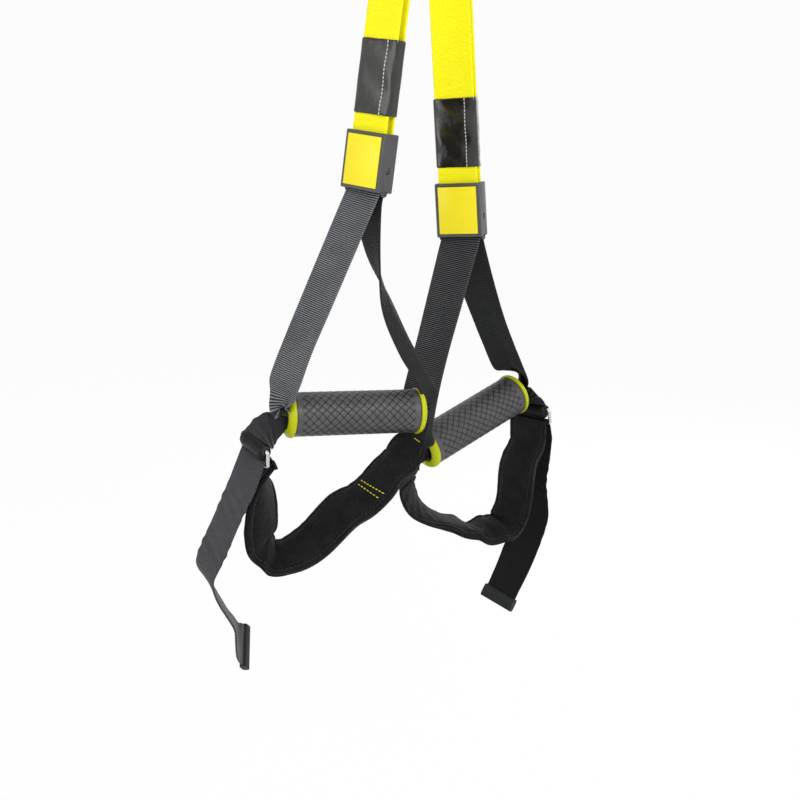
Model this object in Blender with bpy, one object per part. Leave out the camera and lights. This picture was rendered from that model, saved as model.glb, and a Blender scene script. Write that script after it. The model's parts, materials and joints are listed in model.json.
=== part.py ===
"""Suspension trainer: two webbing legs with handles and foot cradles, hung from one carabiner.

Metres, +Z up, the front looks along -Y. The origin is the hang point, the underside of the
carabiner's top bow.
"""
import math

import bmesh
import bpy
from mathutils import Matrix, Vector

# Driving dimensions in metres
WEBBING_WIDTH = 0.037
WEBBING_THICKNESS = 0.0024
LEG_THICKNESS = 0.0018
LEG_PARTING = 0.0007
SEAT_GAP = 0.0003
RUNNING_GAP = 0.0005

# Carabiner
CARABINER_ROD = 0.005
CARABINER_HALF_WIDTH = 0.026
CARABINER_HEIGHT = 0.090
CARABINER_CORNER = 0.0072
NOSE_LENGTH = 0.003
GATE_PIN_HEIGHT = 0.019
GATE_PIN_RADIUS = 0.0015
GATE_PIN_HEAD_RADIUS = 0.0026
GATE_PIN_HEAD_THICKNESS = 0.0008
GATE_RADIUS = 0.0042
GATE_EYE_RADIUS = 0.0040
GATE_EYE_THICKNESS = 0.0034
GATE_FORK_WIDTH = 0.0056
GATE_NECK = 0.010
CHEEK_THICKNESS = 0.0024
CHEEK_RADIUS = 0.0042
CHEEK_ROOT = 0.0020
GATE_SPRING_WIRE = 0.0002
GATE_SPRING_TURNS = 2

# Anchor loop and equaliser bar
ANCHOR_DROP = 0.105
BAND_SPACING = 0.003
EQUALISER_RADIUS = 0.004
FLANGE_RADIUS = 0.0095
FLANGE_THICKNESS = 0.003
ANCHOR_SLEEVE_LENGTH = 0.046
ANCHOR_SLEEVE_WALL = 0.0020
STRAP_END_LENGTH = 0.040

# Cam buckle
CAM_PLATE_THICKNESS = 0.0025
CAM_PLATE_HEIGHT = 0.036
CAM_BACK_HEIGHT = 0.030
CAM_LOBE_RADIUS = 0.0075
CAM_LOBE_WIDTH = 0.028
CAM_PIN_RADIUS = 0.0022
CAM_TONGUE_LENGTH = 0.030
CAM_TONGUE_THICKNESS = 0.0030
CAM_BAR_RADIUS = 0.0025
CAM_BAR_DROP = 0.006
CAM_SIDE_GAP = 0.0010
CAM_FRONT_MARGIN = 0.0045
CAM_SPRING_WIRE = 0.0005
CAM_SPRING_TURNS = 2
SEWN_END_LENGTH = 0.022
TAB_LENGTH = 0.048
TAB_WIDTH = 0.028
TAB_THICKNESS = 0.0030
TAB_BAR_RADIUS = 0.002

# Strap cover and keeper
COVER_LENGTH = 0.060
COVER_WALL = 0.0012
COVER_GAP = 0.014
KEEPER_WALL = 0.0022
KEEPER_DEPTH = 0.0182
KEEPER_HEIGHT = 0.048
KEEPER_LUG_RADIUS = 0.0034
KEEPER_BAR_RADIUS = 0.0015
KEEPER_UPPER_BAR_RADIUS = 0.0025
KEEPER_UPPER_BAR_HEIGHT = 0.018
KEEPER_BAR_INSET = 0.0006
KEEPER_EDGE_ROUND = 0.0010
BADGE_MARGIN = 0.0028
BADGE_THICKNESS = 0.0012
BADGE_RECESS = 0.0009
BADGE_ROUND = 0.0006

# Grip
GRIP_LENGTH = 0.111
GRIP_RADIUS = 0.019
RUBBER_THICKNESS = 0.0035
TUBE_WALL = 0.0016
CAP_FLANGE = 0.0018
CAP_DOME_LENGTH = 0.0070
CAP_LIP = 0.0010
CAP_PLUG_LENGTH = 0.008
CORE_WIDTH = 0.024
CORE_THICKNESS = 0.0040
TUCK_WIDTH = 0.0102
TUCK_MARGIN = 0.0015
TUCK_LEAD = 0.0030

# Leg webbing where it meets the grip
SHOULDER_OUT = -0.003
SHOULDER_UP = 0.029
SHOULDER_WIDTH_SHARE = 0.93
FOLD_OUT = 0.008
FOLD_UP = 0.0140
FOLD_WIDTH_SHARE = 0.55

# Foot cradle and its tail
PAD_WIDTH = 0.041
PAD_THICKNESS = 0.0060
PAD_TOP_DROP = 0.008
PAD_EDGE_SHARE = 0.45
PAD_SEAM_SHARE = 0.80
BACKING_THICKNESS = 0.0016
BACKING_WIDTH_SHARE = 0.90
BACKING_GAP = 0.0006
CRADLE_SPAN_SHARE = 0.93
CRADLE_DEPTH = 0.040
CRADLE_DROP = 0.160
SLIDER_WIRE = 0.0016
SLIDER_HEIGHT = 0.014
SLIDER_MARGIN = 0.0022
TAIL_THICKNESS = 0.0018
STUB_THICKNESS = 0.0018
STUB_RISE = 0.0018
TAIL_LEAD = 0.005
STOP_LENGTH = 0.013
STOP_THICKNESS = 0.0064
STOP_OVERHANG = 0.0012

# Counts
ROUND_SIDES = 24
SMALL_SIDES = 10
WIRE_SIDES = 8
WRAP_STEPS = 6
CURVE_STEPS = 3

# What differs between the two sides. Angles are in degrees. The strap runs from the equaliser
# bar to the keeper's lower bar, and the grip hangs from there.
SIDES = {
    "left": {
        "hang": -1,
        "strap_reach": Vector((-0.056, 0.001, -0.433)),
        "keeper_yaw": 40.0,
        "cam_drop": 0.195,
        "grip_offset": Vector((-0.011, -0.007, -0.189)),
        "grip_yaw": 20.0,
        "grip_tilt": -3.0,
        "front_twist": 0.0,
        "back_twist": 56.0,
        "back_bow": Vector((-0.010, 0.0, 0.0)),
        "back_out": 0.007,
    },
    "right": {
        "hang": 1,
        "strap_reach": Vector((0.029, 0.0063, -0.4796)),
        "keeper_yaw": 22.0,
        "cam_drop": 0.205,
        "grip_offset": Vector((0.010, 0.012, -0.175)),
        "grip_yaw": 38.0,
        "grip_tilt": 18.0,
        "front_twist": 6.0,
        "back_twist": 22.0,
        "back_bow": Vector((-0.003, 0.0, 0.0)),
        "back_out": 0.0,
    },
}

# Routes in the grip's own frame. A row holds the place as shares of the cradle's half span
# (itself a share of the grip's half length over its caps), depth and drop, then the direction
# across the band, then the width as a share of the full width.
CRADLE_ROUTE_SHARES = {
    "left": (
        (1.22, 0.00, -0.08, 0.15, -0.60, 0.70, 0.55),
        (1.14, -0.03, -0.19, 0.50, -0.85, 0.10, 0.88),
        (0.80, -0.04, -0.27, 0.50, -0.86, 0.00, 1.00),
        (0.56, -0.04, -0.34, 0.48, -0.88, -0.05, 1.00),
        (0.37, -0.04, -0.42, 0.52, -0.84, -0.15, 1.00),
        (0.15, -0.04, -0.49, 0.52, -0.79, -0.31, 1.00),
        (-0.12, -0.02, -0.55, 0.52, -0.75, -0.41, 1.00),
        (-0.50, -0.02, -0.69, 0.44, -0.78, -0.45, 1.00),
        (-0.72, 0.00, -0.75, 0.34, -0.82, -0.46, 1.00),
        (-0.91, 0.01, -0.78, 0.12, -0.89, -0.43, 1.00),
        (-1.09, 0.01, -0.80, -0.12, -0.88, -0.42, 1.00),
        (-1.23, 0.02, -0.77, -0.40, -0.80, -0.42, 1.00),
        (-1.30, 0.02, -0.70, -0.60, -0.67, -0.40, 1.00),
        (-1.31, 0.01, -0.63, -0.74, -0.56, -0.36, 1.00),
        (-1.31, -0.01, -0.56, -0.78, -0.58, -0.24, 1.00),
        (-1.31, -0.01, -0.47, -0.60, -0.76, -0.20, 0.98),
        (-1.32, 0.00, -0.38, -0.20, -0.92, -0.16, 0.97),
    ),
    "right": (
        (0.94, -0.11, -0.33, 0.17, -0.97, -0.12, 1.00),
        (0.72, -0.11, -0.40, 0.21, -0.97, -0.12, 1.00),
        (0.58, -0.12, -0.48, 0.25, -0.96, -0.15, 1.00),
        (0.36, -0.17, -0.62, 0.23, -0.96, -0.14, 1.00),
        (0.13, -0.19, -0.71, 0.15, -0.93, -0.30, 1.00),
        (-0.09, -0.14, -0.72, -0.16, -0.95, -0.28, 1.00),
        (-0.29, -0.06, -0.70, -0.42, -0.86, -0.24, 1.00),
        (-0.49, 0.04, -0.66, -0.55, -0.82, -0.08, 1.00),
        (-0.69, 0.11, -0.58, -0.62, -0.78, 0.04, 1.00),
        (-0.87, 0.19, -0.51, -0.66, -0.74, 0.10, 1.00),
        (-1.03, 0.25, -0.43, -0.70, -0.67, 0.22, 1.00),
        (-1.17, 0.29, -0.34, -0.78, -0.52, 0.32, 0.96),
        (-1.24, 0.22, -0.24, -0.66, -0.50, 0.52, 0.85),
        (-1.25, 0.08, -0.12, -0.30, -0.40, 0.86, 0.60),
    ),
}

# The slider's middle, as shares of the cradle's half span, depth and drop, the
# direction along its bars, and the direction from the cradle's bar up to the stub's bar.
SLIDER_PLACE_SHARES = {
    "left": (-1.45, -0.07, -0.18),
    "right": (1.20, -0.09, -0.17),
}
SLIDER_BAR_SHARES = {
    "left": (0.29, -0.90, -0.20),
    "right": (0.20, -0.97, -0.10),
}
SLIDER_UP_SHARES = {
    "left": (-0.20, 0.10, 0.95),
    "right": (0.10, 0.00, 0.99),
}
# Which end of the grip the stub and slider are at, and the ends of the route they join
SLIDER_END = {"left": -1.0, "right": 1.0}

TAIL_ROUTE_SHARES = {
    "left": (
        (-1.62, -0.10, -0.36, 0.36, -0.92, -0.10, 1.00),
        (-1.75, -0.06, -0.48, 0.34, -0.93, -0.08, 1.00),
        (-1.86, -0.02, -0.59, 0.32, -0.94, -0.08, 1.00),
        (-1.98, 0.08, -0.72, 0.36, -0.92, -0.07, 1.00),
        (-2.05, 0.18, -0.81, 0.33, -0.94, -0.02, 1.00),
        (-2.07, 0.25, -0.88, 0.16, -0.98, -0.04, 1.00),
        (-1.97, 0.27, -0.96, -0.10, -0.98, 0.06, 1.00),
        (-1.86, 0.27, -1.04, -0.19, -0.97, 0.13, 1.00),
        (-1.75, 0.24, -1.11, -0.21, -0.96, 0.18, 1.00),
        (-1.65, 0.22, -1.17, -0.16, -0.96, 0.02, 1.00),
        (-1.61, 0.24, -1.23, -0.20, -0.92, -0.24, 1.00),
        (-1.57, 0.31, -1.28, -0.20, -0.80, -0.52, 1.00),
        (-1.51, 0.42, -1.31, -0.15, -0.62, -0.76, 1.00),
    ),
    "right": (
        (1.19, -0.06, -0.34, 0.26, -0.96, 0.02, 1.00),
        (1.06, 0.00, -0.48, 0.30, -0.95, 0.04, 1.00),
        (0.90, 0.02, -0.61, 0.30, -0.95, 0.04, 1.00),
        (0.80, -0.02, -0.74, 0.33, -0.94, 0.02, 1.00),
        (0.69, -0.04, -0.84, 0.42, -0.90, 0.02, 1.00),
        (0.43, -0.02, -0.95, 0.42, -0.90, -0.10, 1.00),
        (0.13, 0.02, -1.07, 0.32, -0.94, -0.09, 1.00),
        (-0.14, 0.08, -1.17, 0.16, -0.98, -0.10, 1.00),
    ),
}

# Colours: red, green, blue, then roughness and metallic
FINISHES = {
    "webbing_yellow": (0.95, 0.78, 0.02, 0.75, 0.0),
    "webbing_grey": (0.055, 0.062, 0.070, 0.80, 0.0),
    "webbing_black": (0.016, 0.016, 0.018, 0.85, 0.0),
    "cover_black": (0.010, 0.010, 0.010, 0.25, 0.0),
    "keeper_rubber": (0.065, 0.065, 0.070, 0.60, 0.0),
    "badge_yellow": (0.90, 0.80, 0.03, 0.45, 0.0),
    "grip_rubber": (0.060, 0.060, 0.062, 0.70, 0.0),
    "cap_lime": (0.72, 0.80, 0.02, 0.35, 0.0),
    "tube_plastic": (0.030, 0.030, 0.030, 0.50, 0.0),
    "pad_black": (0.012, 0.012, 0.013, 0.92, 0.0),
    "steel": (0.60, 0.60, 0.62, 0.25, 1.0),
    "alloy_black": (0.030, 0.030, 0.032, 0.35, 0.6),
}

NECK_SHARE = 0.85
TWIST_SHARES = (0.2, 0.4, 0.6, 0.8)
STUB_SHARES = (0.25, 0.5, 0.75)
LEG_SHARES = (0.10, 0.35, 0.60, 0.82)
CAP_STEPS = 4
ORIGIN = Vector((0.0, 0.0, 0.0))

UP = Vector((0.0, 0.0, 1.0))
DEPTH = Vector((0.0, 1.0, 0.0))
RIGHT = Vector((1.0, 0.0, 0.0))
FRAMES = {}


def clear_scene():
    for item in list(bpy.data.objects):
        bpy.data.objects.remove(item, do_unlink=True)


def finish(name):
    """The Principled material of that name, made once."""
    made = bpy.data.materials.get(name)
    if made:
        return made
    red, green, blue, roughness, metallic = FINISHES[name]
    made = bpy.data.materials.new(name)
    made.use_nodes = True
    shader = made.node_tree.nodes["Principled BSDF"]
    shader.inputs["Base Color"].default_value = (red, green, blue, 1.0)
    shader.inputs["Roughness"].default_value = roughness
    shader.inputs["Metallic"].default_value = metallic
    return made


def add_frame(name, matrix, parent=None):
    """An empty on a joint's axis that carries a moving group. The matrix is its world place."""
    holder = bpy.data.objects.new(name, None)
    bpy.context.collection.objects.link(holder)
    holder.empty_display_size = WEBBING_WIDTH
    if parent:
        holder.parent = bpy.data.objects[parent]
        holder.matrix_local = FRAMES[parent].inverted() @ matrix
    else:
        holder.matrix_local = matrix
    FRAMES[name] = matrix.copy()


def axes(right, depth, up, place):
    """A matrix whose columns are three directions and a place."""
    matrix = Matrix.Identity(4)
    for column, vector in enumerate((right, depth, up, place)):
        for row in range(3):
            matrix[row][column] = vector[row]
    return matrix


def add_piece(name, shape, slot, holder, matrix=None):
    """Put a bmesh into the scene under the holder; matrix is its place in the holder's frame."""
    bmesh.ops.recalc_face_normals(shape, faces=shape.faces)
    mesh = bpy.data.meshes.new(name)
    shape.to_mesh(mesh)
    shape.free()
    mesh.materials.append(finish(slot))
    mesh.shade_smooth()
    mesh.set_sharp_from_angle(angle=math.radians(35.0))
    piece = bpy.data.objects.new(name, mesh)
    bpy.context.collection.objects.link(piece)
    piece.parent = bpy.data.objects[holder]
    if matrix is not None:
        piece.matrix_local = matrix
    return piece


def cut(piece, tool, operation="DIFFERENCE"):
    """A Boolean on the piece; the tool stays as a hidden wire guide."""
    tool.hide_render = True
    tool.display_type = "WIRE"
    change = piece.modifiers.new(tool.name, "BOOLEAN")
    change.object = tool
    change.operation = operation
    change.solver = "EXACT"


def box_shape(low, high, round_edge=0.0):
    """A box between two corners, its edges rounded by round_edge."""
    shape = bmesh.new()
    bmesh.ops.create_cube(shape, size=1.0)
    for vertex in shape.verts:
        for axis in range(3):
            vertex.co[axis] = low[axis] if vertex.co[axis] < 0.0 else high[axis]
    if round_edge:
        bmesh.ops.bevel(
            shape,
            geom=list(shape.edges),
            offset=round_edge,
            segments=2,
            profile=0.5,
            affect="EDGES",
        )
    return shape


def turned_shape(profile, sides, bored=False):
    """Turn a profile of (radius, place along X) round the X axis."""
    shape = bmesh.new()
    rings = []
    for radius, along in profile:
        if radius == 0.0:
            rings.append([shape.verts.new((along, 0.0, 0.0))])
            continue
        ring = []
        for side in range(sides):
            angle = math.tau * side / sides
            ring.append(shape.verts.new((along, radius * math.cos(angle), radius * math.sin(angle))))
        rings.append(ring)
    pairs = list(zip(rings, rings[1:]))
    if bored:
        pairs.append((rings[-1], rings[0]))
    for first, second in pairs:
        for side in range(sides):
            after = (side + 1) % sides
            corners = [
                first[side % len(first)],
                first[after % len(first)],
                second[after % len(second)],
                second[side % len(second)],
            ]
            shape.faces.new(list(dict.fromkeys(corners)))
    return shape


def rod_profile(radius, low, high):
    return [(0.0, low), (radius, low), (radius, high), (0.0, high)]


def outline_shape(points, low, high):
    """Push an outline of (depth, up) points along X from low to high."""
    shape = bmesh.new()
    near = [shape.verts.new((low, depth, up)) for depth, up in points]
    far = [shape.verts.new((high, depth, up)) for depth, up in points]
    shape.faces.new(near)
    shape.faces.new(far)
    for index in range(len(points)):
        after = (index + 1) % len(points)
        shape.faces.new((near[index], near[after], far[after], far[index]))
    return shape


def tube_shape(points, radius, sides, closed=False):
    """A round wire along points, square to its run at each of them."""
    shape = bmesh.new()
    count = len(points)
    rings = []
    previous = None
    for index, point in enumerate(points):
        before = points[index - 1] if closed or index else points[index]
        after = points[(index + 1) % count] if closed or index < count - 1 else points[index]
        run = (after - before).normalized()
        guide = previous if previous else run.orthogonal()
        across = (guide - run * guide.dot(run)).normalized()
        previous = across
        normal = run.cross(across)
        ring = []
        for side in range(sides):
            angle = math.tau * side / sides
            offset = across * (radius * math.cos(angle)) + normal * (radius * math.sin(angle))
            ring.append(shape.verts.new(point + offset))
        rings.append(ring)
    pairs = list(zip(rings, rings[1:]))
    if closed:
        pairs.append((rings[-1], rings[0]))
    else:
        shape.faces.new(rings[0])
        shape.faces.new(rings[-1])
    for first, second in pairs:
        for side in range(sides):
            after = (side + 1) % sides
            shape.faces.new((first[side], first[after], second[after], second[side]))
    return shape


def arc(centre, first, second, radius, start, stop, steps):
    """Points round a centre; first and second are the directions of 0 and 90 degrees."""
    points = []
    for step in range(steps + 1):
        angle = math.radians(start + (stop - start) * step / steps)
        points.append(centre + (first * math.cos(angle) + second * math.sin(angle)) * radius)
    return points


def smooth(rows, steps):
    """A smooth curve through rows of (place, direction across, width)."""
    keys = [tuple(row[0]) + tuple(row[1]) + (row[2],) for row in rows]
    keys = [keys[0]] + keys + [keys[-1]]
    result = []
    for index in range(1, len(keys) - 2):
        around = keys[index - 1 : index + 3]
        for step in range(steps):
            t = step / steps
            mixed = []
            for before, here, there, beyond in zip(*around):
                bend = 2.0 * here + (there - before) * t
                bend += (2.0 * before - 5.0 * here + 4.0 * there - beyond) * t * t
                bend += (3.0 * here - before - 3.0 * there + beyond) * t * t * t
                mixed.append(bend / 2.0)
            result.append((Vector(mixed[0:3]), Vector(mixed[3:6]), mixed[6]))
    result.append(rows[-1])
    return result


def band_frames(rows, closed=False, skewed=False):
    """Place, direction across, normal and width at each row. A skewed band isn't squared up."""
    frames = []
    count = len(rows)
    for index, (point, across, width) in enumerate(rows):
        before = rows[index - 1][0] if closed or index else point
        after = rows[(index + 1) % count][0] if closed or index < count - 1 else point
        run = (after - before).normalized()
        side = across if skewed else across - run * across.dot(run)
        side = side.normalized()
        frames.append((point, side, run.cross(side).normalized(), width))
    return frames


def flat_section(thickness):
    """A flat band's outline: shares of the half width, and heights."""
    half = thickness / 2.0
    return [(-1.0, -half), (1.0, -half), (1.0, half), (-1.0, half)]


def padded_section(thickness):
    """A crowned pad's outline with a drawn-in seam beside each edge."""
    half = thickness / 2.0
    edge = thickness * PAD_EDGE_SHARE - half
    seam = PAD_SEAM_SHARE
    shoulder = seam * seam
    return [
        (-1.0, -half),
        (1.0, -half),
        (1.0, edge),
        (seam, edge),
        (shoulder, half),
        (-shoulder, half),
        (-seam, edge),
        (-1.0, edge),
    ]


def band_shape(frames, section, holder, closed=False):
    """Carry a section along a band's frames, in the holder's own frame.

    Facing sides of stacked bands are split along the same diagonal, so they keep their gap.
    """
    shape = bmesh.new()
    inward = FRAMES[holder].inverted()
    loops = []
    for point, side, normal, width in frames:
        loop = []
        for share, height in section:
            corner = point + side * (share * width / 2.0) + normal * height
            loop.append(shape.verts.new(inward @ corner))
        loops.append(loop)
    pairs = list(zip(loops, loops[1:]))
    if closed:
        pairs.append((loops[-1], loops[0]))
    else:
        shape.faces.new(loops[0])
        shape.faces.new(loops[-1])
    size = len(section)
    for first, second in pairs:
        for index in range(size):
            after = (index + 1) % size
            if section[index][0] < section[after][0]:
                shape.faces.new((first[index], first[after], second[after]))
                shape.faces.new((first[index], second[after], second[index]))
            else:
                shape.faces.new((first[index], first[after], second[index]))
                shape.faces.new((first[after], second[after], second[index]))
    return shape


def band(name, rows, thickness, slot, holder, closed=False, skewed=False):
    shape = band_shape(band_frames(rows, closed, skewed), flat_section(thickness), holder, closed)
    return add_piece(name, shape, slot, holder)


def hollow_sleeve(name, slot, holder, inner, wall, low, high, round_edge):
    """A rectangular sleeve along Z. inner holds the half sizes of its bore in X and Y."""
    outer_x = inner[0] + wall
    outer_y = inner[1] + wall
    shape = box_shape((-outer_x, -outer_y, low), (outer_x, outer_y, high), round_edge)
    sleeve = add_piece(name, shape, slot, holder)
    bore_low = (-inner[0], -inner[1], low - wall)
    bore_high = (inner[0], inner[1], high + wall)
    bore = add_piece(name + "_bore", box_shape(bore_low, bore_high), slot, holder)
    cut(sleeve, bore)
    return sleeve


def coil_points(radius, wire, pitch_gap, turns, start):
    """A coil along X: points, 10 a turn, its turns a wire and pitch_gap apart."""
    pitch = 2.0 * wire + pitch_gap
    points = []
    for step in range(turns * SMALL_SIDES + 1):
        angle = math.tau * step / SMALL_SIDES
        along = start + wire + pitch * step / SMALL_SIDES
        points.append(Vector((along, radius * math.cos(angle), radius * math.sin(angle))))
    return points


def build_carabiner():
    """A D-shaped rod in the YZ plane with a gate on its near side."""
    bottom = CARABINER_ROD - CARABINER_HEIGHT
    half = CARABINER_HALF_WIDTH
    pin_up = bottom + GATE_PIN_HEIGHT
    start_up = pin_up - GATE_EYE_RADIUS - RUNNING_GAP
    bow_up = CARABINER_ROD - half
    corner = CARABINER_CORNER
    near_corner = Vector((0.0, corner - half, bottom + corner))
    far_corner = Vector((0.0, half - corner, bottom + corner))
    points = [Vector((0.0, -half, start_up))]
    points += arc(near_corner, -DEPTH, -UP, corner, 0.0, 90.0, WRAP_STEPS)
    points += arc(far_corner, -UP, DEPTH, corner, 0.0, 90.0, WRAP_STEPS)
    points += arc(Vector((0.0, 0.0, bow_up)), DEPTH, UP, half, 0.0, 180.0, 2 * WRAP_STEPS)
    nose_up = bow_up - NOSE_LENGTH
    points.append(Vector((0.0, -half, nose_up)))
    add_frame("anchor", Matrix.Identity(4))
    body = add_piece("carabiner_body", tube_shape(points, CARABINER_ROD, ROUND_SIDES // 2 + 4),
                     "alloy_black", "anchor")

    fork = GATE_FORK_WIDTH / 2.0
    for side, word in ((-1.0, "near"), (1.0, "far")):
        cheek_arc = arc(ORIGIN, RIGHT, UP, CHEEK_RADIUS, 180.0, 0.0, WRAP_STEPS)
        outline = [(point.x - half, point.z + pin_up) for point in cheek_arc]
        outline.append((CHEEK_RADIUS - half, start_up - CHEEK_ROOT))
        outline.append((-CHEEK_RADIUS - half, start_up - CHEEK_ROOT))
        limits = sorted((side * fork, side * (fork + CHEEK_THICKNESS)))
        cheek = add_piece(word + "_cheek_form", outline_shape(outline, limits[0], limits[1]),
                          "alloy_black", "anchor")
        cut(body, cheek, "UNION")
    reach = fork + CHEEK_THICKNESS
    pin_place = Matrix.Translation(Vector((0.0, -half, pin_up)))
    hole = rod_profile(GATE_PIN_RADIUS + SEAT_GAP, -2.0 * reach, 2.0 * reach)
    hole_form = add_piece("cheek_hole_form", turned_shape(hole, ROUND_SIDES // 2), "alloy_black",
                          "anchor", pin_place)
    cut(body, hole_form)

    head_start = reach + SEAT_GAP
    head_end = head_start + GATE_PIN_HEAD_THICKNESS
    pin = [
        (0.0, -head_end),
        (GATE_PIN_HEAD_RADIUS, -head_end),
        (GATE_PIN_HEAD_RADIUS, -head_start),
        (GATE_PIN_RADIUS, -head_start),
        (GATE_PIN_RADIUS, head_start),
        (GATE_PIN_HEAD_RADIUS, head_start),
        (GATE_PIN_HEAD_RADIUS, head_end),
        (0.0, head_end),
    ]
    add_piece("gate_pin", turned_shape(pin, ROUND_SIDES // 2), "steel", "anchor", pin_place)

    add_frame("gate_axis", pin_place, "anchor")
    gate_top = nose_up - RUNNING_GAP - pin_up
    rod_points = [Vector((0.0, 0.0, GATE_NECK)), Vector((0.0, 0.0, gate_top))]
    gate = add_piece("carabiner_gate", tube_shape(rod_points, GATE_RADIUS, ROUND_SIDES // 2 + 4),
                     "steel", "gate_axis")
    eye_low = -fork + RUNNING_GAP
    eye_high = eye_low + GATE_EYE_THICKNESS
    eye_arc = arc(ORIGIN, RIGHT, UP, GATE_EYE_RADIUS, 180.0, 360.0, 2 * WRAP_STEPS)
    outline = [(point.x, point.z) for point in eye_arc]
    outline.append((GATE_EYE_RADIUS * NECK_SHARE, GATE_NECK + GATE_EYE_RADIUS))
    outline.append((-GATE_EYE_RADIUS * NECK_SHARE, GATE_NECK + GATE_EYE_RADIUS))
    eye = add_piece("gate_eye_form", outline_shape(outline, eye_low, eye_high), "steel", "gate_axis")
    cut(gate, eye, "UNION")
    eye_hole = add_piece("gate_eye_hole_form", turned_shape(hole, ROUND_SIDES // 2), "steel",
                         "gate_axis")
    cut(gate, eye_hole)

    coil_radius = GATE_PIN_RADIUS + SEAT_GAP + GATE_SPRING_WIRE
    coil = coil_points(coil_radius, GATE_SPRING_WIRE, GATE_SPRING_WIRE / 2.0, GATE_SPRING_TURNS,
                       eye_high + GATE_SPRING_WIRE)
    add_piece("gate_spring", tube_shape(coil, GATE_SPRING_WIRE, WIRE_SIDES - 2), "steel", "anchor",
              pin_place)
    return bottom


def build_anchor_strap(bottom):
    """The sewn loop under the carabiner, its wear sleeve and the bar that carries both legs."""
    rod = Vector((0.0, 0.0, bottom))
    bar = Vector((0.0, 0.0, bottom - ANCHOR_DROP))
    add_frame("anchor_strap_axis", Matrix.Translation(rod), "anchor")
    upper = CARABINER_ROD + SEAT_GAP + WEBBING_THICKNESS / 2.0
    lower = EQUALISER_RADIUS + SEAT_GAP + WEBBING_THICKNESS / 2.0
    middle = (rod + bar) / 2.0
    waist = (WEBBING_THICKNESS + SEAT_GAP) / 2.0
    span = UP * (ANCHOR_SLEEVE_LENGTH / 2.0)
    route = arc(rod, RIGHT, UP, upper, 0.0, 180.0, WRAP_STEPS)
    route += [middle + span - RIGHT * waist, middle - span - RIGHT * waist]
    route += arc(bar, RIGHT, UP, lower, 180.0, 360.0, WRAP_STEPS)
    route += [middle - span + RIGHT * waist, middle + span + RIGHT * waist]
    rows = [(point, -DEPTH, WEBBING_WIDTH) for point in route]
    band("anchor_loop", rows, WEBBING_THICKNESS, "webbing_black", "anchor_strap_axis", True)

    turn = Matrix.Rotation(math.radians(90.0), 4, "Z")
    add_frame("anchor_sleeve_place", Matrix.Translation(middle) @ turn, "anchor_strap_axis")
    inner = (WEBBING_WIDTH / 2.0 + SEAT_GAP, waist + WEBBING_THICKNESS / 2.0 + SEAT_GAP)
    half = ANCHOR_SLEEVE_LENGTH / 2.0
    hollow_sleeve("anchor_sleeve", "keeper_rubber", "anchor_sleeve_place", inner,
                  ANCHOR_SLEEVE_WALL, -half + ANCHOR_SLEEVE_WALL, half - ANCHOR_SLEEVE_WALL,
                  KEEPER_EDGE_ROUND)

    reach = 1.5 * WEBBING_WIDTH + 1.5 * BAND_SPACING
    end = reach + FLANGE_THICKNESS
    profile = [
        (0.0, -end),
        (FLANGE_RADIUS, -end),
        (FLANGE_RADIUS, -reach),
        (EQUALISER_RADIUS, -reach),
        (EQUALISER_RADIUS, reach),
        (FLANGE_RADIUS, reach),
        (FLANGE_RADIUS, end),
        (0.0, end),
    ]
    add_frame("equaliser_axis", Matrix.Translation(bar) @ turn, "anchor_strap_axis")
    add_piece("equaliser_bar", turned_shape(profile, ROUND_SIDES), "steel", "equaliser_axis")
    return bar


def leg_axes(side, bar):
    """The leg's directions: across the strap, towards the back, and up along the strap."""
    top = bar + DEPTH * (side["hang"] * (WEBBING_WIDTH + BAND_SPACING))
    up = -side["strap_reach"].normalized()
    yaw = math.radians(side["keeper_yaw"])
    across = Vector((math.cos(yaw), -math.sin(yaw), 0.0))
    across = (across - up * across.dot(up)).normalized()
    return top, across, up.cross(across), up


def build_upper_strap(name, side, top, across, back, up, front):
    """The strap from its sewn loop over the equaliser bar down to the cam's nip."""
    hang = side["hang"]
    wrap = EQUALISER_RADIUS + SEAT_GAP + WEBBING_THICKNESS / 2.0
    touch = (WEBBING_THICKNESS + SEAT_GAP) / 2.0
    short_side = -RIGHT * hang
    down = -up
    rows = [(top + down * STRAP_END_LENGTH + short_side * touch, -DEPTH, WEBBING_WIDTH)]
    rows.append((top + down * (STRAP_END_LENGTH / 2.0) + short_side * touch * 2.0, -DEPTH, WEBBING_WIDTH))
    rows += [(point, -DEPTH, WEBBING_WIDTH)
             for point in arc(top, short_side, UP, wrap, 0.0, 180.0, WRAP_STEPS)]
    rows.append((top + down * (STRAP_END_LENGTH / 2.0) - short_side * touch * 2.0, -DEPTH, WEBBING_WIDTH))
    rows.append((top + down * STRAP_END_LENGTH - short_side * touch, -DEPTH, WEBBING_WIDTH))
    nip = top + down * (side["cam_drop"] - SEAT_GAP / 2.0) - back * front
    frame_top = nip + up * (CAM_PLATE_HEIGHT / 2.0)
    loop_end = rows[-1][0]
    for share in TWIST_SHARES:
        turned = (-DEPTH).lerp(across, share).normalized()
        rows.append((loop_end.lerp(frame_top, share), turned, WEBBING_WIDTH))
    rows.append((frame_top, across, WEBBING_WIDTH))
    rows.append((nip, across, WEBBING_WIDTH))
    band(name + "_upper_strap", rows, WEBBING_THICKNESS, "webbing_yellow", name + "_leg_axis")


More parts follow.
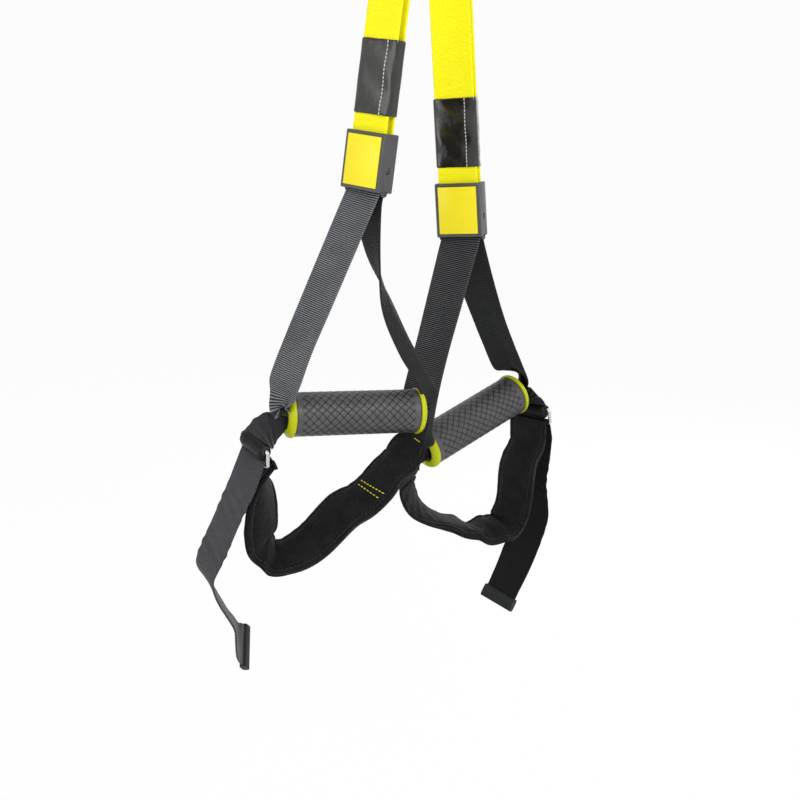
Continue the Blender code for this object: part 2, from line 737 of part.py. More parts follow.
def build_cam(name, front):
    """Cam buckle in its own frame: the strap's nip is at the origin's front."""
    axis = name + "_cam_axis"
    inner = WEBBING_WIDTH / 2.0 + CAM_SIDE_GAP
    plate = inner + CAM_PLATE_THICKNESS
    half = CAM_PLATE_HEIGHT / 2.0
    strap_face = front + WEBBING_THICKNESS / 2.0
    pin_depth = -(strap_face + SEAT_GAP + CAM_LOBE_RADIUS)
    back_low = -front + WEBBING_THICKNESS / 2.0 + SEAT_GAP
    back_high = front - WEBBING_THICKNESS / 2.0 - SEAT_GAP
    bar_wrap = CAM_BAR_RADIUS + SEAT_GAP + WEBBING_THICKNESS / 2.0
    bar_depth = front + bar_wrap
    near = pin_depth - CAM_FRONT_MARGIN
    far = bar_depth + CAM_BAR_RADIUS + CAM_PLATE_THICKNESS

    back_form = box_shape((-plate, back_low, -CAM_BACK_HEIGHT / 2.0),
                          (plate, back_high, CAM_BACK_HEIGHT / 2.0))
    body = add_piece(name + "_cam_frame", back_form, "alloy_black", axis)
    for direction, word in ((-1.0, "left"), (1.0, "right")):
        limits = sorted((direction * inner, direction * plate))
        form = box_shape((limits[0], near, -half), (limits[1], far, half), CAM_PLATE_THICKNESS / 4.0)
        plate_form = add_piece(name + "_cam_" + word + "_plate_form", form, "alloy_black", axis)
        cut(body, plate_form, "UNION")
    bar_place = Matrix.Translation(Vector((0.0, bar_depth, -CAM_BAR_DROP)))
    bar_reach = inner + CAM_PLATE_THICKNESS / 2.0
    bar_form = turned_shape(rod_profile(CAM_BAR_RADIUS, -bar_reach, bar_reach), ROUND_SIDES // 2)
    cut(body, add_piece(name + "_cam_bar_form", bar_form, "alloy_black", axis, bar_place), "UNION")
    pin_place = Matrix.Translation(Vector((0.0, pin_depth, 0.0)))
    hole = rod_profile(CAM_PIN_RADIUS + SEAT_GAP, -2.0 * plate, 2.0 * plate)
    hole_form = turned_shape(hole, ROUND_SIDES // 2)
    cut(body, add_piece(name + "_cam_hole_form", hole_form, "alloy_black", axis, pin_place))
    pin_form = turned_shape(rod_profile(CAM_PIN_RADIUS, -plate, plate), ROUND_SIDES // 2)
    add_piece(name + "_cam_pin", pin_form, "steel", axis, pin_place)

    lever_axis = name + "_cam_lever_axis"
    add_frame(lever_axis, FRAMES[axis] @ pin_place, axis)
    lobe = arc(ORIGIN, RIGHT, UP, CAM_LOBE_RADIUS, -90.0, 180.0, 3 * WRAP_STEPS)
    outline = [(point.x, point.z) for point in lobe]
    outline.append((-CAM_LOBE_RADIUS, -CAM_TONGUE_LENGTH))
    outline.append((-CAM_LOBE_RADIUS + CAM_TONGUE_THICKNESS, -CAM_TONGUE_LENGTH))
    outline.append((-CAM_LOBE_RADIUS + CAM_TONGUE_THICKNESS, -CAM_LOBE_RADIUS))
    spring_side = CAM_LOBE_WIDTH / 2.0
    lever = add_piece(name + "_cam_lever", outline_shape(outline, -spring_side, spring_side),
                      "keeper_rubber", lever_axis)
    cut(lever, add_piece(name + "_lobe_hole_form", turned_shape(hole, ROUND_SIDES // 2),
                         "keeper_rubber", lever_axis))
    coil_radius = CAM_PIN_RADIUS + SEAT_GAP + CAM_SPRING_WIRE
    coil = coil_points(coil_radius, CAM_SPRING_WIRE, CAM_SPRING_WIRE, CAM_SPRING_TURNS,
                       spring_side + SEAT_GAP)
    add_piece(name + "_cam_spring", tube_shape(coil, CAM_SPRING_WIRE, WIRE_SIDES - 2), "steel",
              axis, pin_place)

    tab_back = -strap_face - SEAT_GAP
    loop_radius = TAB_BAR_RADIUS + SEAT_GAP + TAB_THICKNESS
    loop_place = Matrix.Translation(Vector((0.0, tab_back - loop_radius, loop_radius - half)))
    tab_bar = turned_shape(rod_profile(TAB_BAR_RADIUS, -bar_reach, bar_reach), ROUND_SIDES // 2)
    cut(body, add_piece(name + "_tab_bar_form", tab_bar, "alloy_black", axis, loop_place), "UNION")
    tab_low = (-TAB_WIDTH / 2.0, tab_back - TAB_THICKNESS, loop_radius - half - TAB_LENGTH)
    tab_high = (TAB_WIDTH / 2.0, tab_back, loop_radius - half)
    tab = add_piece(name + "_adjustment_tab", box_shape(tab_low, tab_high, TAB_THICKNESS / 4.0),
                    "webbing_yellow", axis)
    loop_reach = TAB_WIDTH / 2.0 - TAB_THICKNESS / 4.0
    loop = turned_shape(rod_profile(loop_radius, -loop_reach, loop_reach), ROUND_SIDES)
    cut(tab, add_piece(name + "_tab_loop_form", loop, "webbing_yellow", axis, loop_place), "UNION")
    loop_bore = rod_profile(TAB_BAR_RADIUS + SEAT_GAP, -TAB_WIDTH, TAB_WIDTH)
    cut(tab, add_piece(name + "_tab_bore_form", turned_shape(loop_bore, ROUND_SIDES // 2),
                       "webbing_yellow", axis, loop_place))
    return bar_depth, bar_wrap


def build_lower_strap(name, axis, front, cam_rise, bar_depth, bar_wrap):
    """The doubled strap, in the keeper's frame: nip, round the upper bar, back up to the cam."""
    frame = FRAMES[name + "_keeper_axis"]
    across = frame.to_3x3() @ RIGHT

    def local(depth, up):
        return frame @ Vector((0.0, depth, up))

    low = KEEPER_UPPER_BAR_HEIGHT
    upper_bar = local(0.0, low)
    back = frame.to_3x3() @ DEPTH
    up = frame.to_3x3() @ UP
    cam_bar_up = cam_rise - CAM_BAR_DROP
    route = [local(-front, cam_rise - SEAT_GAP / 2.0), local(-front, cam_rise / 2.0)]
    route += arc(upper_bar, -back, -up, front, 0.0, 180.0, WRAP_STEPS)
    route.append(local(front, cam_rise / 2.0))
    route += arc(local(bar_depth, cam_bar_up), -back, up, bar_wrap, 0.0, 180.0, WRAP_STEPS)
    route.append(local(bar_depth + bar_wrap, cam_bar_up - SEWN_END_LENGTH))
    rows = [(point, across, WEBBING_WIDTH) for point in route]
    band(name + "_lower_strap", rows, WEBBING_THICKNESS, "webbing_yellow", axis)


def build_keeper(name, front):
    """The moulded sleeve over the junction, its two steel bars, its plate and the strap cover."""
    axis = name + "_keeper_axis"
    bore_x = WEBBING_WIDTH / 2.0 + RUNNING_GAP
    bore_y = KEEPER_DEPTH / 2.0 - KEEPER_WALL
    sleeve = hollow_sleeve(name + "_keeper_sleeve", "keeper_rubber", axis, (bore_x, bore_y),
                           KEEPER_WALL, 0.0, KEEPER_HEIGHT, KEEPER_EDGE_ROUND)
    outer_x = bore_x + KEEPER_WALL
    for direction, word in ((-1.0, "left"), (1.0, "right")):
        limits = sorted((direction * (bore_x + SEAT_GAP), direction * (outer_x - SEAT_GAP)))
        lug = turned_shape(rod_profile(KEEPER_LUG_RADIUS, limits[0], limits[1]), ROUND_SIDES // 2)
        cut(sleeve, add_piece(name + "_" + word + "_lug_form", lug, "keeper_rubber", axis), "UNION")
    bars = (
        ("_keeper_lower_bar", 0.0, KEEPER_BAR_RADIUS),
        ("_keeper_upper_bar", KEEPER_UPPER_BAR_HEIGHT, KEEPER_UPPER_BAR_RADIUS),
    )
    reach = outer_x - KEEPER_BAR_INSET
    half_step = math.pi / (ROUND_SIDES // 2)
    for word, height, radius in bars:
        bar_place = Matrix.Translation(UP * height) @ Matrix.Rotation(half_step, 4, "X")
        hole = rod_profile(radius + SEAT_GAP, -2.0 * outer_x, 2.0 * outer_x)
        hole_form = turned_shape(hole, ROUND_SIDES // 2)
        cut(sleeve, add_piece(name + word + "_hole_form", hole_form, "keeper_rubber", axis, bar_place))
        bar = turned_shape(rod_profile(radius, -reach, reach), ROUND_SIDES // 2)
        add_piece(name + word, bar, "steel", axis, bar_place)
    plate_x = outer_x - BADGE_MARGIN
    face = -KEEPER_DEPTH / 2.0
    recess = box_shape((-plate_x, face - BADGE_THICKNESS, BADGE_MARGIN),
                       (plate_x, face + BADGE_RECESS, KEEPER_HEIGHT - BADGE_MARGIN))
    cut(sleeve, add_piece(name + "_badge_recess_form", recess, "keeper_rubber", axis))
    back = face + BADGE_RECESS - SEAT_GAP
    badge = box_shape(
        (-plate_x + SEAT_GAP, back - BADGE_THICKNESS, BADGE_MARGIN + SEAT_GAP),
        (plate_x - SEAT_GAP, back, KEEPER_HEIGHT - BADGE_MARGIN - SEAT_GAP),
        BADGE_ROUND / 2.0)
    add_piece(name + "_badge_plate", badge, "badge_yellow", axis)

    inner = (WEBBING_WIDTH / 2.0 + SEAT_GAP, front + WEBBING_THICKNESS / 2.0 + SEAT_GAP)
    low = KEEPER_HEIGHT + COVER_GAP
    hollow_sleeve(name + "_strap_cover", "cover_black", axis, inner, COVER_WALL, low,
                  low + COVER_LENGTH, COVER_WALL / 3.0)


def grip_axes(side, keeper_place):
    """Directions along the grip, towards the back and up, and the grip's middle."""
    yaw = math.radians(side["grip_yaw"])
    tilt = math.radians(side["grip_tilt"])
    along = Vector((math.cos(yaw) * math.cos(tilt), math.sin(yaw) * math.cos(tilt), math.sin(tilt)))
    back = Vector((-math.sin(yaw), math.cos(yaw), 0.0))
    return along, back, along.cross(back), keeper_place + side["grip_offset"]


def cap_end():
    return GRIP_LENGTH / 2.0 + SEAT_GAP + CAP_FLANGE + CAP_DOME_LENGTH


def cradle_place(shares):
    """A place in the grip's frame, from shares of the cradle's half span, depth and drop."""
    along, back, up = shares
    return Vector((along * cap_end() * CRADLE_SPAN_SHARE, back * CRADLE_DEPTH, up * CRADLE_DROP))


def build_legs(name, side, keeper_place, across, back, up):
    """The handle webbing: over the keeper's bar, down both sides, through the tube as a core."""
    axis = name + "_handle_axis"
    along, grip_back, grip_up, middle = grip_axes(side, keeper_place)
    wrap = KEEPER_BAR_RADIUS + SEAT_GAP + LEG_THICKNESS / 2.0
    parting = math.degrees(LEG_PARTING / wrap)
    end = cap_end()
    legs = (
        ("_front_webbing", -1.0, side["front_twist"], ORIGIN, 0.0),
        ("_back_webbing", 1.0, side["back_twist"], side["back_bow"], side["back_out"]),
    )
    for word, direction, twist, bow, out in legs:
        turn = Matrix.Rotation(math.radians(-twist), 3, "Z")
        low_across = turn @ across
        rows = [(point, across, WEBBING_WIDTH) for point in
                arc(keeper_place, back * direction, up, wrap, 90.0 - parting, 0.0, WRAP_STEPS // 2)]
        outward = along * direction
        shoulder = middle + outward * (end + SHOULDER_OUT + out) + grip_up * SHOULDER_UP
        start = rows[-1][0]
        run = (shoulder - start).normalized()
        low_across = (low_across - run * low_across.dot(run)).normalized()
        for share in LEG_SHARES:
            place = start.lerp(shoulder, share) + bow * (4.0 * share * (1.0 - share))
            width = WEBBING_WIDTH * (1.0 - share * share * (1.0 - SHOULDER_WIDTH_SHARE))
            rows.append((place, across.lerp(low_across, share).normalized(), width))
        rows.append((shoulder, low_across, WEBBING_WIDTH * SHOULDER_WIDTH_SHARE))
        last_across = grip_up * -direction
        fold = middle + outward * (end + FOLD_OUT) + grip_up * FOLD_UP
        fold_across = (low_across + last_across).normalized()
        rows.append((fold, fold_across, WEBBING_WIDTH * FOLD_WIDTH_SHARE))
        tuck = grip_up * (TUCK_MARGIN + TUCK_WIDTH / 2.0)
        rows.append((middle + outward * (end + TUCK_LEAD) + tuck, last_across, TUCK_WIDTH))
        rows = rows[: WRAP_STEPS // 2] + smooth(rows[WRAP_STEPS // 2 :], CURVE_STEPS)
        rows.append((middle + outward * (end + SEAT_GAP) + tuck, last_across, TUCK_WIDTH))
        slot = "webbing_grey" if name == "left" and direction < 0.0 else "webbing_black"
        band(name + word, rows, LEG_THICKNESS, slot, axis, skewed=True)

    add_frame(name + "_core_place", axes(along, grip_back, grip_up, middle), axis)
    half_thickness = CORE_THICKNESS / 2.0
    core = box_shape((-end, -half_thickness, -CORE_WIDTH / 2.0), (end, half_thickness, CORE_WIDTH / 2.0))
    add_piece(name + "_core_webbing", core, "webbing_black", name + "_core_place")


def build_grip(name):
    """Hard tube, rubber sleeve and two domed caps in the grip's frame."""
    axis = name + "_grip_axis"
    half = GRIP_LENGTH / 2.0
    outer = GRIP_RADIUS - RUBBER_THICKNESS
    inner = outer - TUBE_WALL
    tube = [(inner, -half), (outer, -half), (outer, half), (inner, half)]
    add_piece(name + "_grip_tube", turned_shape(tube, ROUND_SIDES, True), "tube_plastic", axis)
    bore = outer + SEAT_GAP
    rubber = [(bore, -half), (GRIP_RADIUS, -half), (GRIP_RADIUS, half), (bore, half)]
    add_piece(name + "_grip_rubber", turned_shape(rubber, ROUND_SIDES, True), "grip_rubber", axis)
    plug = inner - SEAT_GAP
    mouth = CORE_WIDTH / 2.0 + RUNNING_GAP
    rim = GRIP_RADIUS + CAP_LIP
    seat = half + SEAT_GAP
    flange = seat + CAP_FLANGE
    profile = [
        (mouth, seat - CAP_PLUG_LENGTH),
        (plug, seat - CAP_PLUG_LENGTH),
        (plug, seat),
        (rim, seat),
        (rim, flange),
    ]
    lip = mouth + CAP_LIP
    for step in range(1, CAP_STEPS + 1):
        angle = math.radians(90.0 * step / CAP_STEPS)
        profile.append((lip + (rim - lip) * math.cos(angle), flange + CAP_DOME_LENGTH * math.sin(angle)))
    profile.append((mouth, flange + CAP_DOME_LENGTH - CAP_LIP))
    flip = Matrix.Rotation(math.radians(180.0), 4, "Z")
    add_piece(name + "_near_cap", turned_shape(profile, ROUND_SIDES, True), "cap_lime", axis, flip)
    add_piece(name + "_far_cap", turned_shape(profile, ROUND_SIDES, True), "cap_lime", axis)


def route_rows(frame, shares, width):
    """A share table's rows as places, directions and widths in the world."""
    turn = frame.to_3x3()
    rows = []
    for along, back, up, across_x, across_y, across_z, width_share in shares:
        place = frame @ cradle_place((along, back, up))
        across = turn @ Vector((across_x, across_y, across_z)).normalized()
        rows.append((place, across, width * width_share))
    return rows


def build_slider(name, frame):
    """The wire frame that joins stub, cradle and tail. Its matrix has X along its bars."""
    turn = frame.to_3x3()
    middle = frame @ cradle_place(SLIDER_PLACE_SHARES[name])
    bar = (turn @ Vector(SLIDER_BAR_SHARES[name])).normalized()
    up = turn @ Vector(SLIDER_UP_SHARES[name])
    up = (up - bar * up.dot(bar)).normalized()
    slider = axes(bar, up.cross(bar), up, middle)
    half_width = WEBBING_WIDTH / 2.0 + SLIDER_MARGIN
    half_height = SLIDER_HEIGHT / 2.0
    corners = ((1.0, 1.0, 0.0), (-1.0, 1.0, 90.0), (-1.0, -1.0, 180.0), (1.0, -1.0, 270.0))
    points = []
    for across, height, start in corners:
        centre = Vector((across * (half_width - SLIDER_MARGIN), 0.0,
                         height * (half_height - SLIDER_MARGIN)))
        points += arc(centre, RIGHT, UP, SLIDER_MARGIN, start, start + 90.0, WRAP_STEPS // 2)
    shape = tube_shape(points, SLIDER_WIRE, WIRE_SIDES, True)
    cradle_axis = name + "_cradle_axis"
    add_piece(name + "_slider_frame", shape, "steel", cradle_axis,
              FRAMES[cradle_axis].inverted() @ slider)
    return slider


def build_cradle(name, frame):
    """Foot cradle: crowned pad on a webbing band, the stub, and the slider between them."""
    axis = name + "_cradle_axis"
    turn = frame.to_3x3()
    along = turn @ RIGHT
    grip_up = turn @ UP
    end = SLIDER_END[name]
    mouth = cap_end() + SEAT_GAP
    tuck = -(TUCK_MARGIN + TUCK_WIDTH / 2.0)
    slider = build_slider(name, frame)
    bar = slider.to_3x3() @ RIGHT
    inward = slider.to_3x3() @ DEPTH * -end
    slider_up = slider.to_3x3() @ UP
    upper_bar = slider @ Vector((0.0, 0.0, SLIDER_HEIGHT / 2.0))
    lower_bar = slider @ Vector((0.0, 0.0, -SLIDER_HEIGHT / 2.0))

    bar_clearance = SLIDER_WIRE + SEAT_GAP + TAIL_THICKNESS + SEAT_GAP
    strap_depth = bar_clearance + BACKING_THICKNESS / 2.0
    pad_depth = bar_clearance + BACKING_THICKNESS + SEAT_GAP + PAD_THICKNESS / 2.0
    pad_row = (lower_bar + inward * pad_depth - slider_up * PAD_TOP_DROP, bar, PAD_WIDTH)
    rows = route_rows(frame, CRADLE_ROUTE_SHARES[name], PAD_WIDTH)
    rows = rows + [pad_row] if end < 0.0 else [pad_row] + rows
    fine = smooth(rows, CURVE_STEPS)
    pad_frames = band_frames(fine)
    beneath = -(PAD_THICKNESS / 2.0 + BACKING_GAP + BACKING_THICKNESS / 2.0)
    strap_frames = [(point + normal * beneath, side, normal, width * BACKING_WIDTH_SHARE)
                    for point, side, normal, width in pad_frames]
    far_rows = [(frame @ Vector((-end * (mouth + lead), 0.0, tuck)), grip_up, TUCK_WIDTH)
                for lead in (0.0, TUCK_LEAD)]
    bar_row = (lower_bar + inward * strap_depth, bar, PAD_WIDTH * BACKING_WIDTH_SHARE)
    trim = 2 * CURVE_STEPS
    if end < 0.0:
        first, last = strap_frames[0], strap_frames[-1]
        leading = band_frames(far_rows + [(first[0], first[1], first[3])], skewed=True)[:-1]
        trailing = band_frames([(last[0], last[1], last[3]), bar_row], skewed=True)[1:]
        pad_frames = pad_frames[trim:]
    else:
        first, last = strap_frames[0], strap_frames[-1]
        leading = band_frames([bar_row, (first[0], first[1], first[3])], skewed=True)[:-1]
        trailing = band_frames([(last[0], last[1], last[3])] + far_rows[::-1], skewed=True)[1:]
        pad_frames = pad_frames[:-trim]
    add_piece(name + "_cradle_pad", band_shape(pad_frames, padded_section(PAD_THICKNESS), axis),
              "pad_black", axis)
    strap_frames = leading + strap_frames + trailing
    add_piece(name + "_cradle_strap",
              band_shape(strap_frames, flat_section(BACKING_THICKNESS), axis),
              "webbing_black", axis)

    wrap = SLIDER_WIRE + SEAT_GAP + STUB_THICKNESS / 2.0
    stub_across = grip_up * end
    near_mouth = frame @ Vector((end * (mouth + TUCK_LEAD), 0.0, tuck))
    stub_rows = [(frame @ Vector((end * mouth, 0.0, tuck)), stub_across, TUCK_WIDTH)]
    stub_rows.append((near_mouth, stub_across, TUCK_WIDTH))
    over = arc(upper_bar, inward, slider_up, wrap, 75.0, 255.0, WRAP_STEPS)
    for share in STUB_SHARES:
        point = near_mouth.lerp(over[0], share) + grip_up * (STUB_RISE * 4.0 * share * (1.0 - share))
        across = stub_across.lerp(bar, share).normalized()
        stub_rows.append((point, across, TUCK_WIDTH + (WEBBING_WIDTH - TUCK_WIDTH) * share))
    stub_rows += [(point, bar, WEBBING_WIDTH) for point in over]
    band(name + "_cradle_stub", stub_rows, STUB_THICKNESS, "webbing_black", axis, skewed=True)
    return lower_bar, bar, inward, slider_up


def build_tail(name, frame, lower_bar, bar, inward, slider_up):
    """The loose tail: round the slider's lower bar, down its route, to its folded stop."""
    axis = name + "_tail_axis"
    add_frame(axis, axes(bar, slider_up.cross(bar), slider_up, lower_bar), name + "_cradle_axis")
    wrap = SLIDER_WIRE + SEAT_GAP + TAIL_THICKNESS / 2.0
    over = arc(lower_bar, inward, slider_up, wrap, 0.0, 165.0, WRAP_STEPS)
    rows = [(point, bar, WEBBING_WIDTH) for point in over]
    rows += smooth(route_rows(frame, TAIL_ROUTE_SHARES[name], WEBBING_WIDTH), CURVE_STEPS)
    last, across, width = rows[-1]
    run = (last - rows[-2][0]).normalized()
    across = (across - run * across.dot(run)).normalized()
    last = last + run * TAIL_LEAD
    rows.append((last, across, width))
    slot = "webbing_grey" if name == "left" else "webbing_black"
    band(name + "_tail_webbing", rows, TAIL_THICKNESS, slot, axis, skewed=True)

    stop = axes(across, run.cross(across), run, last)
    half = width / 2.0 + STOP_OVERHANG
    shape = box_shape((-half, -STOP_THICKNESS / 2.0, SEAT_GAP),
                      (half, STOP_THICKNESS / 2.0, STOP_LENGTH), STOP_OVERHANG)
    add_piece(name + "_tail_stop", shape, "webbing_black", axis, FRAMES[axis].inverted() @ stop)


def build_side(name, side, bar):
    top, across, back, up = leg_axes(side, bar)
    length = side["strap_reach"].length
    front = KEEPER_UPPER_BAR_RADIUS + SEAT_GAP + WEBBING_THICKNESS / 2.0
    keeper_place = top - up * length
    cam_place = top - up * side["cam_drop"]
    add_frame(name + "_leg_axis", axes(across, back, up, top), "anchor_strap_axis")
    add_frame(name + "_cam_axis", axes(across, back, up, cam_place), name + "_leg_axis")
    add_frame(name + "_keeper_axis", axes(across, back, up, keeper_place), name + "_cam_axis")
    build_upper_strap(name, side, top, across, back, up, front)
    bar_depth, bar_wrap = build_cam(name, front)
    build_lower_strap(name, name + "_keeper_axis", front, length - side["cam_drop"], bar_depth, bar_wrap)
    build_keeper(name, front)

    add_frame(name + "_handle_axis", axes(across, back, up, keeper_place), name + "_keeper_axis")
    build_legs(name, side, keeper_place, across, back, up)
    along, grip_back, grip_up, middle = grip_axes(side, keeper_place)
    grip = axes(along, grip_back, grip_up, middle)
    add_frame(name + "_grip_axis", grip, name + "_handle_axis")
    build_grip(name)
    add_frame(name + "_cradle_axis", grip, name + "_handle_axis")
    lower_bar, bar_across, inward, slider_up = build_cradle(name, grip)
    build_tail(name, grip, lower_bar, bar_across, inward, slider_up)


def build():
    clear_scene()
    bottom = build_carabiner()
    bar = build_anchor_strap(bottom)
    for name, side in SIDES.items():
        build_side(name, side, bar)


build()
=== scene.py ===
"""Suspension trainer dressed over its fixed frame: webbing, stitching, padded foot cradles,
moulded grips and metalwork.

Metres, +Z up, the front looks along -Y, the hang point is the origin. Laid out as an add-on
and run as a script.
"""

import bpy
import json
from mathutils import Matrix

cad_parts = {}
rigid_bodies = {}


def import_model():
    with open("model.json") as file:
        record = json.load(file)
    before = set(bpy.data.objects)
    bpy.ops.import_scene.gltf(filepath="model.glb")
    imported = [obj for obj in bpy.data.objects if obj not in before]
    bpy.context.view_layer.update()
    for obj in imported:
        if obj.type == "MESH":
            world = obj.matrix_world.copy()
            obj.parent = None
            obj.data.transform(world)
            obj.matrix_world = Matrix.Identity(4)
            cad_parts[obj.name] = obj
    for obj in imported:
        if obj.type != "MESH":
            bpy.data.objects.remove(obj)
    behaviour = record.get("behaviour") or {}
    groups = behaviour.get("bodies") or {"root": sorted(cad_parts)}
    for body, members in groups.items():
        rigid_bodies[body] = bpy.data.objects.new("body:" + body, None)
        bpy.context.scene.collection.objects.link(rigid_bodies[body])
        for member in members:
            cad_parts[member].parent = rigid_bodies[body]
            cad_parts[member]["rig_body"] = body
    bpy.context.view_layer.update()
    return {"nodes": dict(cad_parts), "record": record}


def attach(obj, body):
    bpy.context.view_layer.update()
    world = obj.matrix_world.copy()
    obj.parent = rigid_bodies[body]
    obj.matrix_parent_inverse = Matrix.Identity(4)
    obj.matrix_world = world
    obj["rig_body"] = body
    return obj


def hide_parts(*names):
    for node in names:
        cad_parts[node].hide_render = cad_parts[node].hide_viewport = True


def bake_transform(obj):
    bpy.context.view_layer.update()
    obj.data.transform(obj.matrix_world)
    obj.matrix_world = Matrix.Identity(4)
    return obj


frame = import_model()

import json
import math

import bmesh
import bpy
import numpy as np
from mathutils import Vector

bl_info = {
    "name": "Suspension Trainer Dressing",
    "version": (1, 0, 0),
    "blender": (4, 5, 0),
    "location": "View3D > Sidebar > Trainer",
    "description": "Webbing, padded cradles, moulded grips and metalwork of a suspension trainer",
    "category": "Object",
}

# Sizes shared with the solids, in metres
WEBBING_WIDTH = 0.037
WEBBING_THICKNESS = 0.0024
LEG_THICKNESS = 0.0018
LEG_PARTING = 0.0007
SEAT_GAP = 0.0003
RUNNING_GAP = 0.0005
BAND_SPACING = 0.003
CARABINER_ROD = 0.005
CARABINER_HALF_WIDTH = 0.026
CARABINER_HEIGHT = 0.090
CARABINER_CORNER = 0.0072
NOSE_LENGTH = 0.003
GATE_PIN_HEIGHT = 0.019
GATE_EYE_RADIUS = 0.0040
GATE_FORK_WIDTH = 0.0056
CHEEK_THICKNESS = 0.0024
CHEEK_RADIUS = 0.0042
CHEEK_ROOT = 0.0020
ANCHOR_DROP = 0.105
ANCHOR_SLEEVE_LENGTH = 0.046
EQUALISER_RADIUS = 0.004
STRAP_END_LENGTH = 0.040
CAM_PLATE_HEIGHT = 0.036
CAM_BAR_RADIUS = 0.0025
CAM_BAR_DROP = 0.006
SEWN_END_LENGTH = 0.022
TAB_LENGTH = 0.048
TAB_WIDTH = 0.028
TAB_THICKNESS = 0.0030
TAB_BAR_RADIUS = 0.002
COVER_LENGTH = 0.060
COVER_WALL = 0.0012
COVER_GAP = 0.014
KEEPER_HEIGHT = 0.048
KEEPER_BAR_RADIUS = 0.0015
KEEPER_UPPER_BAR_RADIUS = 0.0025
KEEPER_UPPER_BAR_HEIGHT = 0.018
GRIP_LENGTH = 0.111
GRIP_RADIUS = 0.019
RUBBER_THICKNESS = 0.0035
TUBE_WALL = 0.0016
CAP_FLANGE = 0.0018
CAP_DOME_LENGTH = 0.0070
CAP_LIP = 0.0010
CAP_PLUG_LENGTH = 0.008
CORE_WIDTH = 0.024
CORE_THICKNESS = 0.0040
TUCK_WIDTH = 0.0102
TUCK_MARGIN = 0.0015
TUCK_LEAD = 0.0030
SHOULDER_OUT = -0.003
SHOULDER_UP = 0.029
SHOULDER_WIDTH_SHARE = 0.93
FOLD_OUT = 0.008
FOLD_UP = 0.0140
FOLD_WIDTH_SHARE = 0.55
PAD_WIDTH = 0.041
PAD_THICKNESS = 0.0060
PAD_TOP_DROP = 0.008
PAD_SEAM_SHARE = 0.80
BACKING_THICKNESS = 0.0016
BACKING_WIDTH_SHARE = 0.90
BACKING_GAP = 0.0006
CRADLE_SPAN_SHARE = 0.93
CRADLE_DEPTH = 0.040
CRADLE_DROP = 0.160
SLIDER_WIRE = 0.0016
SLIDER_HEIGHT = 0.014
SLIDER_MARGIN = 0.0022
TAIL_THICKNESS = 0.0018
STUB_THICKNESS = 0.0018
STUB_RISE = 0.0018
TAIL_LEAD = 0.005
STOP_LENGTH = 0.013
STOP_THICKNESS = 0.0064
STOP_OVERHANG = 0.0012
STUB_SHARES = np.array((0.25, 0.5, 0.75))
LEG_SHARES = np.array((0.10, 0.35, 0.60, 0.82))

X, Y, Z = np.eye(3)
# hang and end are the sides of the anchor and of the grip that the leg and its slider are on. The
# angles are in degrees, and twists are the turns of a handle strip at each of LEG_SHARES.
SIDES = {
    "left": {
        "hang": -1,
        "strap_reach": np.array((-0.056, 0.001, -0.433)),
        "keeper_yaw": 40.0,
        "cam_drop": 0.195,
        "grip_offset": np.array((-0.011, -0.007, -0.189)),
        "grip_yaw": 20.0,
        "grip_tilt": -3.0,
        "front": {"finish": "webbing_ribbed", "slot": "webbing_grey", "twists": (0.0, 0.0, 0.0, 0.0),
                  "bow": np.zeros(3), "out": 0.0},
        # Painted shade: the back strip is the same webbing as the front over the keeper's bar, given the
        # darker black finish because its inner face is turned away from the light
        "back": {"finish": "webbing_black", "slot": "webbing_black", "twists": (8.0, 30.0, 61.0, 66.0),
                 "bow": np.array((-0.013, 0.0, 0.0)), "out": 0.003},
        "stub_finish": "webbing_worn",
        "tail_finish": "webbing_twill",
        "tail_slot": "webbing_grey",
        "end": -1.0,
    },
    "right": {
        "hang": 1,
        "strap_reach": np.array((0.029, 0.0063, -0.4796)),
        "keeper_yaw": 22.0,
        "cam_drop": 0.205,
        "grip_offset": np.array((0.010, 0.012, -0.175)),
        "grip_yaw": 38.0,
        "grip_tilt": 18.0,
        "front": {"finish": "webbing_dark_ribbed", "slot": "webbing_black", "twists": (2.0, 7.0, 10.0, 3.0),
                  "bow": np.zeros(3), "out": 0.0},
        "back": {"finish": "webbing_black", "slot": "webbing_black", "twists": (2.0, 8.0, 14.0, 14.0),
                 "bow": np.array((-0.003, 0.0, 0.0)), "out": 0.0},
        "stub_finish": "webbing_black",
        "tail_finish": "webbing_matt",
        "tail_slot": "webbing_black",
        "end": 1.0,
    },
}

